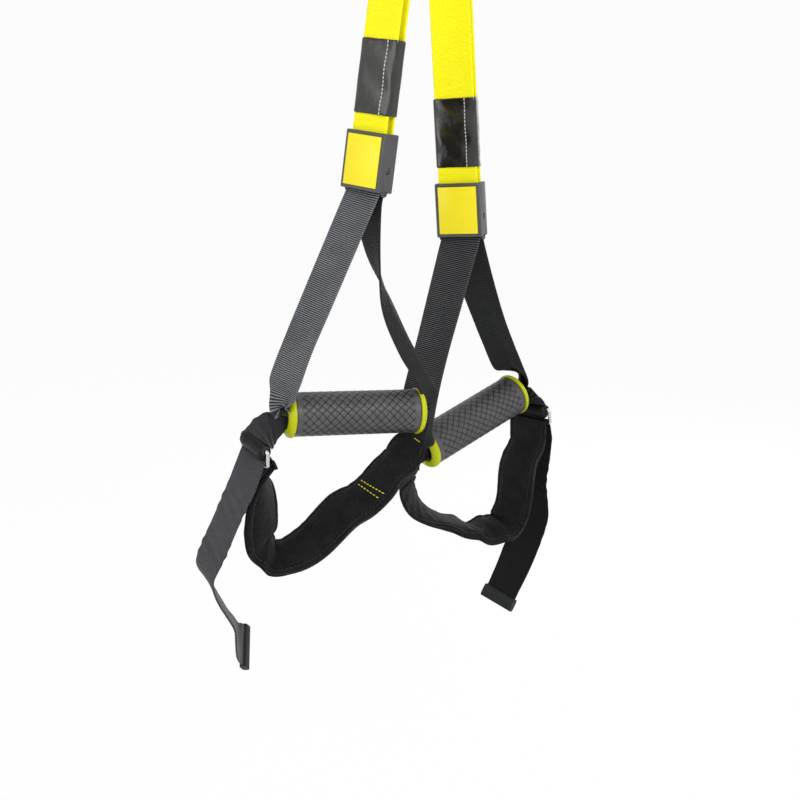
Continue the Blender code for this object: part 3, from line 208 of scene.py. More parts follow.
# A row holds the place as shares of the cradle's half span, depth and drop in the grip's
# frame, then the direction across the band, then the width as a share of the full width.
CRADLE_ROUTE_SHARES = {
    "left": (
        (1.10, 0.02, -0.08, 0.15, -0.60, 0.70, 0.62),
        (0.87, 0.02, -0.18, 0.50, -0.85, 0.10, 0.95),
        (0.74, -0.04, -0.26, 0.50, -0.86, 0.00, 1.00),
        (0.53, -0.04, -0.34, 0.48, -0.88, -0.05, 1.00),
        (0.37, -0.04, -0.42, 0.52, -0.84, -0.15, 1.00),
        (0.15, -0.04, -0.49, 0.52, -0.79, -0.31, 1.00),
        (-0.12, -0.02, -0.55, 0.52, -0.75, -0.41, 1.00),
        (-0.50, -0.02, -0.69, 0.44, -0.78, -0.45, 1.00),
        (-0.72, 0.00, -0.75, 0.34, -0.82, -0.46, 1.00),
        (-0.91, 0.01, -0.78, 0.12, -0.89, -0.43, 1.00),
        (-1.09, 0.01, -0.785, -0.12, -0.88, -0.42, 1.00),
        (-1.22, 0.02, -0.745, -0.40, -0.80, -0.42, 1.00),
        (-1.30, 0.02, -0.70, -0.60, -0.67, -0.40, 1.00),
        (-1.31, 0.01, -0.63, -0.74, -0.56, -0.36, 1.00),
        (-1.31, -0.01, -0.56, -0.74, -0.61, -0.24, 1.00),
        (-1.30, -0.01, -0.47, -0.70, -0.68, -0.20, 0.98),
        (-1.28, 0.00, -0.39, -0.50, -0.83, -0.16, 0.97),
    ),
    "right": (
        (0.94, -0.11, -0.33, 0.17, -0.97, -0.12, 1.00),
        (0.72, -0.11, -0.40, 0.21, -0.97, -0.12, 1.00),
        (0.58, -0.12, -0.48, 0.25, -0.96, -0.15, 1.00),
        (0.36, -0.17, -0.62, 0.23, -0.96, -0.14, 1.00),
        (0.13, -0.19, -0.71, 0.15, -0.93, -0.30, 1.00),
        (-0.09, -0.14, -0.72, -0.16, -0.95, -0.28, 1.00),
        (-0.29, -0.06, -0.70, -0.42, -0.86, -0.24, 1.00),
        (-0.50, 0.04, -0.66, -0.52, -0.77, 0.26, 0.92),
        (-0.71, 0.11, -0.58, -0.60, -0.77, 0.14, 0.84),
        (-0.89, 0.19, -0.52, -0.63, -0.72, 0.26, 0.80),
        (-1.11, 0.25, -0.43, -0.70, -0.66, 0.26, 0.82),
        (-1.27, 0.26, -0.33, -0.78, -0.52, 0.30, 0.84),
        (-1.34, 0.19, -0.22, -0.70, -0.52, 0.44, 0.84),
        (-1.28, 0.07, -0.13, -0.40, -0.40, 0.80, 0.70),
    ),
}
TAIL_ROUTE_SHARES = {
    "left": (
        (-1.62, -0.10, -0.36, 0.36, -0.92, -0.10, 1.00),
        (-1.75, -0.06, -0.48, 0.34, -0.93, -0.08, 1.00),
        (-1.86, -0.02, -0.59, 0.32, -0.94, -0.08, 1.00),
        (-1.98, 0.08, -0.72, 0.36, -0.92, -0.07, 1.00),
        (-2.05, 0.18, -0.81, 0.33, -0.94, -0.02, 1.00),
        (-2.07, 0.25, -0.88, 0.16, -0.98, -0.04, 1.00),
        (-1.97, 0.27, -0.96, -0.10, -0.98, 0.06, 1.00),
        (-1.86, 0.27, -1.04, -0.19, -0.97, 0.13, 1.00),
        (-1.75, 0.24, -1.11, -0.21, -0.96, 0.18, 1.00),
        (-1.65, 0.22, -1.17, -0.16, -0.96, 0.02, 1.00),
        (-1.61, 0.24, -1.23, -0.20, -0.92, -0.24, 1.00),
        (-1.57, 0.31, -1.28, -0.20, -0.80, -0.52, 1.00),
        (-1.51, 0.42, -1.31, -0.15, -0.62, -0.76, 1.00),
    ),
    "right": (
        (1.19, -0.06, -0.34, 0.26, -0.96, 0.02, 1.00),
        (1.06, 0.00, -0.48, 0.30, -0.95, 0.04, 1.00),
        (0.90, 0.02, -0.61, 0.30, -0.95, 0.04, 1.00),
        (0.80, -0.02, -0.74, 0.33, -0.94, 0.02, 1.00),
        (0.69, -0.04, -0.84, 0.42, -0.90, 0.02, 1.00),
        (0.43, -0.02, -0.95, 0.42, -0.90, -0.10, 1.00),
        (0.13, 0.02, -1.07, 0.32, -0.94, -0.09, 1.00),
        (-0.14, 0.08, -1.17, 0.16, -0.98, -0.10, 1.00),
    ),
}
SLIDER_PLACE_SHARES = {"left": (-1.45, -0.07, -0.18), "right": (1.20, -0.09, -0.17)}
SLIDER_BAR_SHARES = {"left": (0.29, -0.90, -0.20), "right": (0.20, -0.97, -0.10)}
SLIDER_UP_SHARES = {"left": (-0.20, 0.10, 0.95), "right": (0.10, 0.00, 0.99)}

# How finely the pieces are drawn, and sizes of the dressing itself
RING_SPACING = 0.0016
FACE_COLUMNS = 22
EDGE_COLUMNS = 4
ARC_STEPS = 14
FINE_STEPS = 8
ROUND_COLUMNS = 48
ROD_COLUMNS = 32
WIRE_COLUMNS = 16
THREAD_RINGS = 5
THREAD_COLUMNS = 6
THREAD_TAPER_SHARE = 0.85
SMOOTH_ANGLE = 35.0
GRIP_SMOOTH_ANGLE = 80.0
MERGE_DISTANCE = 0.000004
CHEEK_PATTERN = 0.05
SEAM_SHARE = 0.8
SEAM_MARGIN = 0.003
LOOP_SEAMS = (0.003, 0.016)
STRAP_SEAM_START = 0.004
STRAP_SEAM_MARGIN = 0.012
STRAP_TURN_STEPS = 24
LOWER_SEAM_END = 0.017
TAB_SEAM_END = 0.026
TAB_WRAP_ANGLE = 250.0
TAB_PARTING = 0.004
TAB_CLOSING = 0.012
TUCK_DEPTH = 0.006
CORE_MARGIN = 0.007
COVER_ROWS = 48
COVER_CORNER_POWER = 0.35
COVER_WAVE_HEIGHT = 0.0005
COVER_WAVE_RATE = 190.0
COVER_WAVE_LEAN = 3.0
COVER_LIP = 0.0004
COVER_SEAM_SHARE = 0.27
COVER_SEAM_MARGIN = 0.001
COVER_THREAD_SHARE = 1.25
COVER_GAP_SHARE = 0.5
PATTERN_RADIUS = 0.018
PINCH_LIMIT = 0.006
PINCH_SHARE = 0.42
PINCH_CREST_SHARE = 0.9
PINCH_ROUNDING = 0.02
PAD_COLUMNS = 47
PAD_EDGE_COLUMNS = 3
PAD_FLAT_SHARE = 0.95
PAD_EDGE_SHARE = 0.97
PAD_CROWN_POWER = 0.6
PAD_UNDER_CURL = 0.35
PAD_BEAD_HEIGHT = 0.0021
PAD_BEAD_LIFT_SHARE = 0.2
PAD_BEAD_UNDER_SHARE = 1.15
PAD_SEAM_HEIGHT = 0.0004
PAD_SEAM_MARGIN = 0.004
PAD_MARK_THREAD_SHARE = 1.35
PAD_CREASE_HEIGHT = 0.0007
PAD_CREASE_SPACING = 0.011
PAD_CREASE_LEAN = 2.2
PAD_TIGHT_BEND = 60.0
PAD_END_SHARE = 0.30
PAD_LIP_SHARE = 0.5
PAD_SPACING = 0.0022
CLOTH_FRAMES = 20
PAD_LIP_RISE = 0.004
PAD_LIP_RUN = 0.010
PAD_RUN_OUT = {"left": 0.030, "right": 0.110}
PAD_MOUTH_ROWS = 5
PAD_FOLD_RADIUS = 0.015
PAD_FOLD_ANGLE = 70.0
PAD_FOLDS = {"left": (0.180,), "right": (0.098,)}
PAD_MARKS = {
    "left": (((-0.70, 0.0754), (0.72, 0.0698)), ((-0.66, 0.0802), (0.66, 0.0756)),
             ((0.05, 0.0150), (0.60, 0.0150))),
    "right": (),
}
ROLL_HEIGHT = 0.0070
ROLL_DEPTH = 0.0062
ROLL_RISE = 0.0045
ROLL_COLUMNS = 48
ROLL_ROWS = 26
ROLL_END_SHARE = 0.06
ROLL_END_POWER = 14
ROLL_WAVE_SHARE = 0.02
ROLL_WAVES = 9.0
STUB_MOUTH_WIDTH = {"left": 0.0220, "right": TUCK_WIDTH}
STUB_MOUTH_DROP = {"left": 0.0110, "right": TUCK_MARGIN + TUCK_WIDTH / 2.0}
RIDGE_HEIGHT = 0.0014
RIDGE_SPACING = 0.0066
RIDGE_SEAMS = (0.5, 1.5, 2.5)
RIDGE_SEAM_SHARE = 0.85
RIDGE_STITCH_SHARE = 0.7
RIDGE_GAP_SHARE = 0.6
SLIDER_WRAP_ANGLES = {"stub": (75.0, 255.0), "tail": (0.0, 165.0)}
TAIL_CREASE_HEIGHT = 0.0006
TAIL_CREASE_SPACING = 0.011
TAIL_CREASE_LEAN = 0.010
TAIL_CREASE_REACH = 0.012
TAIL_CREASES = {"left": (0.050, 0.095), "right": (0.065, 0.082, 0.130)}
STOP_COLUMNS = 64
STOP_STEPS = 24
STOP_END_SHARE = 0.72
STOP_FLAT_SHARE = 0.985
STOP_DEPTH_POWER = 0.6
STOP_HEIGHT_POWER = 0.5
STOP_SEAM_SHARES = (0.35, 0.65)
STOP_SEAM_MARGIN = 0.003
STOP_SEAM_DEPTH_SHARE = 0.98
# Past the grip's end, in front of it and above it, then the turn towards the tuck and the width share
NEAR_FOLDS = (
    (-0.0025, 0.0035, 0.0290, 0.00, 0.97),
    (-0.0010, 0.0105, 0.0160, 0.05, 0.78),
    (0.0010, 0.0075, 0.0075, 0.35, 0.50),
)
FAR_FOLD_SHARE = 0.70
GRIP_CELLS_ROUND = 16
GRIP_GROOVE_SHARE = 0.15
GRIP_DIVE_SHARE = 0.30
GRIP_DIVE_DEPTH = 0.55
GRIP_SPACING = 0.0005
GRIP_EDGE = 0.0006
GRIP_PLAIN_END = 0.0045
GRIP_PLAIN_RAMP = 0.0012
GRIP_END_PATTERN = 0.003
CAP_COLUMNS = 64
CAP_SHOWN_DOME = 0.0042
CAP_CHAMFER = 0.0005
FLOOR_HEIGHT = -1.35
FLOOR_REACH = 8.0
FLOOR_ROWS = 24
FLOOR_COLUMNS = 64
FLOOR_FLAT = 4.0
FLOOR_CURL = 0.35
FLOOR_GLOW = 0.94
SKY_LIGHT = 0.52
CAMERA_LENS = 57.4
CAMERA_SENSOR = 36.0
CAMERA_PLACE = (-0.0275, -1.1138, -0.5543)
CAMERA_TILT = 13.0
LAMP_AIM = (-0.02, 0.0, -0.75)
# Name, place, width in metres and power in watts
LAMPS = (
    ("key", (0.9, -2.1, 0.5), 1.4, 32.0),
    ("fill", (-2.0, -1.3, -0.3), 1.6, 13.0),
    ("top", (0.1, 0.3, 1.5), 1.4, 20.0),
    ("rear", (0.9, 1.9, -0.2), 1.4, 12.0),
)


def tone(colour):
    """Linear light from a display colour, a share of white per channel."""
    display = np.array(tuple(colour)[:3])
    low = display / 12.92
    high = ((display + 0.055) / 1.055) ** 2.4
    return tuple(np.where(display <= 0.04045, low, high)) + (1.0,)


def unit(vectors):
    return vectors / np.linalg.norm(vectors, axis=-1, keepdims=True)


def dot(first, second):
    return (first * second).sum(-1, keepdims=True)


class Place:
    """An origin and three directions. A point's world place is the origin plus its shares of them."""

    def __init__(self, origin, right, back, up):
        self.origin = np.array(origin, float)
        self.axes = np.array((right, back, up), float)

    def at(self, points):
        return self.origin + np.asarray(points, float) @ self.axes

    def turn(self, vectors):
        return np.asarray(vectors, float) @ self.axes


def cap_end():
    return GRIP_LENGTH / 2.0 + SEAT_GAP + CAP_FLANGE + CAP_DOME_LENGTH


def cradle_scale():
    return np.array((cap_end() * CRADLE_SPAN_SHARE, CRADLE_DEPTH, CRADLE_DROP))


class Leg:
    """One side's frames: strap, cam buckle, keeper, grip and slider."""

    def __init__(self, name):
        side = SIDES[name]
        self.name = name
        self.side = side
        bar = Z * (CARABINER_ROD - CARABINER_HEIGHT - ANCHOR_DROP)
        top = bar + Y * (side["hang"] * (WEBBING_WIDTH + BAND_SPACING))
        self.reach = np.linalg.norm(side["strap_reach"])
        up = -side["strap_reach"] / self.reach
        yaw = math.radians(side["keeper_yaw"])
        across = np.array((math.cos(yaw), -math.sin(yaw), 0.0))
        across = unit(across - up * (across @ up))
        back = np.cross(up, across)
        self.strap = Place(top, across, back, up)
        self.cam = Place(top - up * side["cam_drop"], across, back, up)
        self.keeper = Place(top - up * self.reach, across, back, up)
        yaw = math.radians(side["grip_yaw"])
        tilt = math.radians(side["grip_tilt"])
        along = np.array((math.cos(yaw) * math.cos(tilt), math.sin(yaw) * math.cos(tilt), math.sin(tilt)))
        behind = np.array((-math.sin(yaw), math.cos(yaw), 0.0))
        self.grip = Place(self.keeper.origin + side["grip_offset"], along, behind, np.cross(along, behind))
        middle = self.grip.at(np.array(SLIDER_PLACE_SHARES[name]) * cradle_scale())
        bar = unit(self.grip.turn(SLIDER_BAR_SHARES[name]))
        rise = self.grip.turn(SLIDER_UP_SHARES[name])
        rise = unit(rise - bar * (rise @ bar))
        self.slider = Place(middle, bar, np.cross(rise, bar), rise)
        self.front = KEEPER_UPPER_BAR_RADIUS + SEAT_GAP + WEBBING_THICKNESS / 2.0
        self.end = side["end"]
        self.inward = self.slider.axes[1] * -self.end
        self.upper_bar = self.slider.at((0.0, 0.0, SLIDER_HEIGHT / 2.0))
        self.lower_bar = self.slider.at((0.0, 0.0, -SLIDER_HEIGHT / 2.0))

    def tucked(self, end, past):
        """A place past one of the grip's ends, at the height where the cradle's straps are tucked in."""
        return self.grip.at((end * (cap_end() + SEAT_GAP + past), 0.0, -(TUCK_MARGIN + TUCK_WIDTH / 2.0)))

    def put(self, word, shells, finish, body, slot, solid=None, **looks):
        """One piece of this side. Its body and the solid that it stands for are named without the side."""
        return put(self.name + word, shells, finish, body and self.name + body, slot,
                   [self.name + solid] if solid else (), **looks)


def arc(centre, first, second, radius, start, stop, steps=ARC_STEPS):
    """Points round a centre; first and second are the directions of 0 and 90 degrees."""
    angle = np.radians(np.linspace(start, stop, steps + 1))[:, None]
    return centre + (first * np.cos(angle) + second * np.sin(angle)) * radius


def rows_of(places, across, width):
    """Route rows: place, direction across and width side by side."""
    places = np.atleast_2d(places)
    return np.hstack([places, np.broadcast_to(across, places.shape),
                      np.broadcast_to(np.reshape(width, (-1, 1)), (len(places), 1))])


def curved(rows):
    """A smooth cubic through rows, each stretch bent by the rows on both sides of it."""
    padded = np.vstack([rows[:1], rows, rows[-1:]])
    count = len(rows) - 1
    before, here, there, beyond = (padded[k : k + count][:, None] for k in range(4))
    t = np.linspace(0.0, 1.0, FINE_STEPS, endpoint=False)[None, :, None]
    bend = 2.0 * here + (there - before) * t
    bend = bend + (2.0 * before - 5.0 * here + 4.0 * there - beyond) * t ** 2
    bend = bend + (3.0 * here - before - 3.0 * there + beyond) * t ** 3
    return np.vstack([bend.reshape(-1, rows.shape[1]) / 2.0, rows[-1:]])


def lengths(places):
    steps = np.linalg.norm(np.diff(places, axis=0), axis=1)
    return np.concatenate([[0.0], np.cumsum(steps)])


def spaced(rows, spacing):
    """The same route with rows an even spacing apart."""
    along = lengths(rows[:, :3])
    count = max(2, int(round(along[-1] / spacing)) + 1)
    even = np.linspace(0.0, along[-1], count)
    return np.stack([np.interp(even, along, column) for column in rows.T], axis=1)


def grid(points, across, along, ring=False, loop=False):
    """Quads over rows and columns of points, wound so that along x across points outwards.

    ring joins the last column to the first and loop the last row to the first. across and along
    give each column's and row's place in the pattern, one more of them where they close.
    """
    rows, columns = points.shape[:2]
    i = np.arange(rows if loop else rows - 1)[:, None]
    j = np.arange(columns if ring else columns - 1)[None, :]
    corners = ((i, j), (i + 1, j), (i + 1, j + 1), (i, j + 1))
    quads = np.stack([(a % rows) * columns + b % columns for a, b in corners], -1)
    pattern = np.stack([np.stack([across[b + 0 * a], along[a + 0 * b]], -1) for a, b in corners], -2)
    return points.reshape(-1, 3), [(quads.reshape(-1, 4), pattern.reshape(-1, 4, 2))]


def tube(points, across, along, loop=False):
    """A grid closed round its columns and wound outwards, with flat ends unless it runs into itself."""
    flat, groups = grid(points, across, along, ring=True, loop=loop)
    groups = [(faces[:, ::-1], pattern[:, ::-1]) for faces, pattern in groups]
    if not loop:
        rows, columns = points.shape[:2]
        rim = np.arange(columns)[None, :]
        plain = np.zeros((1, columns, 2))
        groups += [(rim[:, ::-1], plain), (rim + (rows - 1) * columns, plain)]
    return flat, groups


def joined(shells):
    """One shell from several: points end to end, faces renumbered."""
    points, groups, start = [], [], 0
    for shell_points, shell_groups in shells:
        points.append(shell_points)
        groups += [(faces + start, pattern) for faces, pattern in shell_groups]
        start += len(shell_points)
    return np.vstack(points), groups


def shown(name, mesh, finish, body, slot, replaces, crisp):
    """Smooth a mesh, finish it and let it ride on its body."""
    mesh.materials.append(MATERIALS[finish])
    mesh.shade_smooth()
    mesh.set_sharp_from_angle(angle=math.radians(crisp))
    piece = linked(name, mesh)
    if body:
        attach(piece, body)
    if replaces:
        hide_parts(*replaces)
    return piece


def linked(name, data):
    piece = bpy.data.objects.new(name, data)
    bpy.context.scene.collection.objects.link(piece)
    return piece


def put(name, shells, finish, body, slot, replaces=(), crisp=SMOOTH_ANGLE):
    """Make one object from shells."""
    points, groups = joined(shells)
    mesh = bpy.data.meshes.new(name)
    mesh.from_pydata(points, [], [face for faces, _ in groups for face in faces.tolist()])
    layer = mesh.uv_layers.new(name="UVMap")
    layer.data.foreach_set("uv", np.concatenate([p.reshape(-1) for _, p in groups]).astype(np.float32))
    return shown(name, mesh, finish, body, slot, replaces, crisp)


def strip_outline(thickness):
    """Shares of the half width and heights over a strip's face, its two edges half rounds."""
    half = thickness / 2.0
    edge = half / (WEBBING_WIDTH / 2.0)
    angle = np.linspace(0.0, math.pi / 2.0, EDGE_COLUMNS + 1)
    share = np.concatenate([
        -1.0 + edge * (1.0 - np.cos(angle)),
        np.linspace(-1.0 + edge, 1.0 - edge, FACE_COLUMNS)[1:-1],
        1.0 - edge * (1.0 - np.cos(angle[::-1])),
    ])
    rise = half * np.sin(angle)
    height = np.concatenate([rise, np.full(FACE_COLUMNS - 2, half), rise[::-1]])
    return share, height, -height


class Band:
    """A strip carried along a centreline.

    A point is place + side x (share x width / 2) + normal x (height(share) + relief(share, along)),
    where the relief is a fold, crease or ripple that both faces share.
    """

    def __init__(self, rows, thickness, skewed=False, closed=False, relief=None, spacing=RING_SPACING,
                 outline=None, taper=None):
        if closed:
            rows = spaced(np.vstack([rows, rows[:1]]), spacing)[:-1]
        else:
            rows = spaced(rows, spacing)
        self.place = rows[:, 0:3]
        before = np.roll(self.place, 1, axis=0)
        after = np.roll(self.place, -1, axis=0)
        if not closed:
            before[0] = self.place[0]
            after[-1] = self.place[-1]
        self.run = unit(after - before)
        across = rows[:, 3:6]
        self.side = unit(across if skewed else across - self.run * dot(across, self.run))
        self.normal = unit(np.cross(self.run, self.side))
        self.width = rows[:, 6:7]
        self.along = lengths(self.place)
        self.thickness = thickness
        self.closed = closed
        self.relief = relief
        self.outline = outline or strip_outline(thickness)
        self.taper = taper(self.along) if taper else np.ones(len(self.along))
        self.swell = None

    def shift(self, share, along, width):
        return self.relief(share, along, width) if self.relief else 0.0

    def shell(self):
        share, top, bottom = self.outline
        share = share[None, :]
        along = self.along[:, None]
        shift = self.shift(share, along, self.width)
        spread = self.place[:, None] + self.side[:, None] * (share * self.width / 2.0)[..., None]
        thin = self.taper[:, None]
        upper = spread + self.normal[:, None] * (top * thin + shift)[..., None]
        lower = spread + self.normal[:, None] * (bottom * thin + shift)[..., None]
        points = np.concatenate([upper, lower[:, -2:0:-1]], axis=1)
        nominal = share[0] * WEBBING_WIDTH / 2.0
        across = np.concatenate([nominal, nominal[-2:0:-1], nominal[:1]])
        marks = self.along
        if self.closed:
            marks = np.append(marks, marks[-1] + np.linalg.norm(self.place[0] - self.place[-1]))
        flat, groups = grid(points, across, marks, ring=True, loop=self.closed)
        if not self.closed:
            count = share.shape[1]
            columns = points.shape[1]
            first = np.arange(count - 1)
            partner = (columns - np.arange(count)) % columns
            partner[-1] = count - 1
            for row, turned in ((0, 1), (len(points) - 1, -1)):
                quads = np.stack([first, first + 1, partner[first + 1], partner[first]], -1)[1:-1]
                ends = np.array([(0, 1, partner[1]), (count - 2, count - 1, partner[count - 2])])
                for faces in (quads, ends):
                    faces = faces[:, ::turned]
                    mark = np.stack([across[faces], np.full(faces.shape, marks[row])], -1)
                    groups.append((faces + row * columns, mark))
        return flat, groups

    def at(self, share, along, lift=1.0):
        """Places on the face that lift says (1 upper, -1 lower), with their normals."""
        share, along = np.broadcast_arrays(np.asarray(share, float), np.asarray(along, float))

        def pick(values):
            return np.stack([np.interp(along, self.along, column) for column in values.T], -1)

        width = pick(self.width)
        normal = unit(pick(self.normal))
        outline_share, top, bottom = self.outline
        height = np.interp(share, outline_share, top if lift > 0 else bottom)
        height = height * np.interp(along, self.along, self.taper)
        shift = self.shift(share[:, None], along[:, None], width) + 0.0 * width
        place = pick(self.place) + pick(self.side) * share[:, None] * width / 2.0
        place = place + normal * (height[:, None] + shift)
        if self.swell is not None:
            place = place + self.swollen(np.interp(share, outline_share, np.arange(len(outline_share))),
                                         np.interp(along, self.along, np.arange(len(self.along))))
        return place, normal * np.sign(lift)

    def swollen(self, column, row):
        """The upper face's stuffing between its four nearest points."""
        left = np.minimum(column.astype(int), self.swell.shape[1] - 2)
        low = np.minimum(row.astype(int), len(self.swell) - 2)
        right, high = (column - left)[:, None], (row - low)[:, None]
        near = self.swell[low, left] * (1.0 - right) + self.swell[low, left + 1] * right
        far = self.swell[low + 1, left] * (1.0 - right) + self.swell[low + 1, left + 1] * right
        return near * (1.0 - high) + far * high


def turned(profile, place):
    """A closed profile of (radius, along) turned round the place's X: radius x (cos, sin) of the angle."""
    angle = np.linspace(0.0, 2.0 * math.pi, CAP_COLUMNS + 1)
    around = np.stack([0.0 * angle, np.cos(angle), np.sin(angle)], -1)
    points = profile[:, None, :1] * around[None, :-1] + profile[:, None, 1:] * X
    marks = lengths(np.vstack([profile, profile[:1]]))
    return tube(place.at(points), angle * profile[:, 0].max(), marks, loop=True)


def pushed(outline, limits):
    """A flat outline in (depth, up), anticlockwise, carried along X from one limit to the other."""
    points = np.stack([np.column_stack([np.full(len(outline), limit), outline]) for limit in limits])
    return tube(points, np.linspace(0.0, CHEEK_PATTERN, len(outline) + 1), np.array(limits) - limits[0])


def wire(points, radius, columns=WIRE_COLUMNS, closed=False):
    """A round rod along points: place + across x cos + normal x sin, turned least from ring to ring."""
    before = np.roll(points, 1, axis=0)
    after = np.roll(points, -1, axis=0)
    if not closed:
        before[0] = points[0]
        after[-1] = points[-1]
    run = unit(after - before)
    spread = np.linalg.svd(points - points.mean(0))[2][2]
    across = unit(spread - run * dot(run, spread))
    normal = np.cross(run, across)
    angle = np.linspace(0.0, 2.0 * math.pi, columns + 1)
    rings = points[:, None] + radius * (across[:, None] * np.cos(angle[:-1])[None, :, None]
                                        + normal[:, None] * np.sin(angle[:-1])[None, :, None])
    marks = lengths(np.vstack([points, points[:1]]) if closed else points)
    return tube(rings, angle * radius, marks, loop=closed)


def threads(centres, runs, normals, length, radius):
    """Short rounded stitches: on each centre a rod along its run, its radius a half ellipse."""
    centres, runs = np.atleast_2d(centres), unit(np.atleast_2d(runs))
    normals = unit(np.atleast_2d(normals) - runs * dot(np.atleast_2d(normals), runs))
    sides = np.cross(runs, normals)
    share = np.linspace(-1.0, 1.0, THREAD_RINGS)
    size = radius * np.sqrt(1.0 - THREAD_TAPER_SHARE * share ** 2)
    angle = np.linspace(0.0, 2.0 * math.pi, THREAD_COLUMNS, endpoint=False)
    points = (centres[:, None, None] + runs[:, None, None] * (share * length / 2.0)[None, :, None, None]
              + (sides[:, None, None] * np.cos(angle)[None, None, :, None]
                 + normals[:, None, None] * np.sin(angle)[None, None, :, None])
              * size[None, :, None, None])
    count, rings, columns = points.shape[:3]
    i = np.arange(rings - 1)[:, None]
    j = np.arange(columns)[None, :]
    after = (j + 1) % columns
    one = np.stack([i * columns + j, i * columns + after, (i + 1) * columns + after,
                    (i + 1) * columns + j], -1).reshape(-1, 4)
    start = (np.arange(count) * rings * columns)[:, None]
    quads = (one[None] + start[..., None]).reshape(-1, 4)
    ring = np.arange(columns)[None, :]
    near = ring[:, ::-1] + start
    far = ring + (rings - 1) * columns + start
    groups = [(faces, np.zeros(faces.shape + (2,))) for faces in (quads, near, far)]
    return points.reshape(-1, 3), groups


def sewn(band, corners, lift=1.0, proud=0.25, stitch_share=1.0, gap_share=1.0, thread_share=1.0):
    """Stitches on a band between (share, along) corners, bent to its surface.

    The last three are shares of the sizes of a stitch, its gap and its thread.
    """
    size = sizes()
    stitch, radius = size.stitch * stitch_share, size.thread_radius * thread_share
    shells = []
    for start, stop in zip(np.array(corners), np.array(corners)[1:]):
        leap = stop - start
        reach = math.hypot(leap[0] * float(band.width.max()) / 2.0, leap[1])
        count = max(1, int(reach / (stitch + size.stitch_gap * gap_share)))
        spots = start + leap * ((np.arange(count) + 0.5) / count)[:, None]
        quarter = leap * 0.25 / count
        ahead, behind = (band.at(*(spots + step).T, lift)[0] for step in (quarter, -quarter))
        place, normal = band.at(*spots.T, lift)
        shells.append(threads(place + normal * radius * proud, ahead - behind, normal, stitch, radius))
    return joined(shells)


def crossed_box(near, far):
    """Corners of a sewn box with one diagonal, between two places along a strip."""
    low, high = -SEAM_SHARE, SEAM_SHARE
    return [(low, near), (high, near), (high, far), (low, far), (low, near), (high, far)]


class Value:
    """A socket of a material's nodes that takes part in arithmetic."""

    def __init__(self, tree, socket):
        self.tree = tree
        self.socket = socket

    def node(self, kind, values=None, output=0, stops=None, **settings):
        """Add a node: its settings and ramp stops first, then values or links on its sockets."""
        made = self.tree.nodes.new(kind)
        for key, setting in settings.items():
            setattr(made, key, setting)
        for index, (place, colour) in enumerate(stops or ()):
            stop = made.color_ramp.elements[index] if index < 2 else made.color_ramp.elements.new(place)
            stop.position = place
            stop.color = colour
        for key, value in (values or {}).items():
            if isinstance(value, Value):
                self.tree.links.new(value.socket, made.inputs[key])
            else:
                made.inputs[key].default_value = value
        return Value(self.tree, made.outputs[output])

    def math(self, operation, *others):
        return self.node("ShaderNodeMath", dict(enumerate((self,) + others)), operation=operation)

    def __add__(self, other):
        return self.math("ADD", other)

    __radd__ = __add__

    def __sub__(self, other):
        return self.math("SUBTRACT", other)

    def __rsub__(self, other):
        return (self * -1.0).math("ADD", other)

    def __mul__(self, other):
        return self.math("MULTIPLY", other)

    __rmul__ = __mul__

    def __pow__(self, power):
        return self.math("POWER", power)

    def ramp(self, low, high, low_value=0.0, high_value=1.0):
        """Smoothly from one value to another as this one goes from low to high."""
        names = {"Value": self, "From Min": low, "From Max": high, "To Min": low_value, "To Max": high_value}
        return self.node("ShaderNodeMapRange", names, interpolation_type="SMOOTHSTEP")

    def wave(self, length):
        """0 to 1 and back over each length of this value."""
        return (self * (2.0 * math.pi / length)).math("SINE") * 0.5 + 0.5

    def rays(self, *kinds):
        """1 for light paths of any of these kinds, else 0."""
        path = self.node("ShaderNodeLightPath").socket.node
        return sum(Value(self.tree, path.outputs[kind]) for kind in kinds).math("MINIMUM", 1.0)

    def blend(self, first, second):
        """A colour from the first to the second by this value."""
        return self.node("ShaderNodeMix", {0: self, 6: first, 7: second}, output=2, data_type="RGBA")


class Finish:
    """A material with its Principled shader, pattern coordinates and noises."""

    def __init__(self, name, fixed=None):
        self.material = bpy.data.materials.new(name)
        self.material.use_nodes = True
        self.tree = self.material.node_tree
        self.shader = self.tree.nodes["Principled BSDF"]
        for key, value in (fixed or {}).items():
            self.shader.inputs[key].default_value = value
        self.start = Value(self.tree, self.shader.outputs[0])
        coordinates = self.tree.nodes.new("ShaderNodeTexCoord")
        self.object = Value(self.tree, coordinates.outputs["Object"])
        self.uv = Value(self.tree, coordinates.outputs["UV"])

    def pattern(self):
        """Metres across and along the piece."""
        across = self.uv.node("ShaderNodeSeparateXYZ", {0: self.uv})
        return across, Value(self.tree, across.socket.node.outputs[1])

    def noise(self, scale, detail=3.0, roughness=0.55, stretch=(1.0, 1.0, 1.0)):
        where = self.object.node("ShaderNodeMapping", {"Vector": self.object, "Scale": stretch})
        names = {"Vector": where, "Scale": scale, "Detail": detail, "Roughness": roughness}
        return where.node("ShaderNodeTexNoise", names)

    def feed(self, **values):
        for key, value in values.items():
            self.tree.links.new(value.socket, self.shader.inputs[key.replace("_", " ").title()])

    def bump(self, height, distance):
        normal = height.node("ShaderNodeBump", {"Height": height, "Distance": distance, "Strength": 1.0})
        self.tree.links.new(normal.socket, self.shader.inputs["Normal"])


MATERIALS = {}


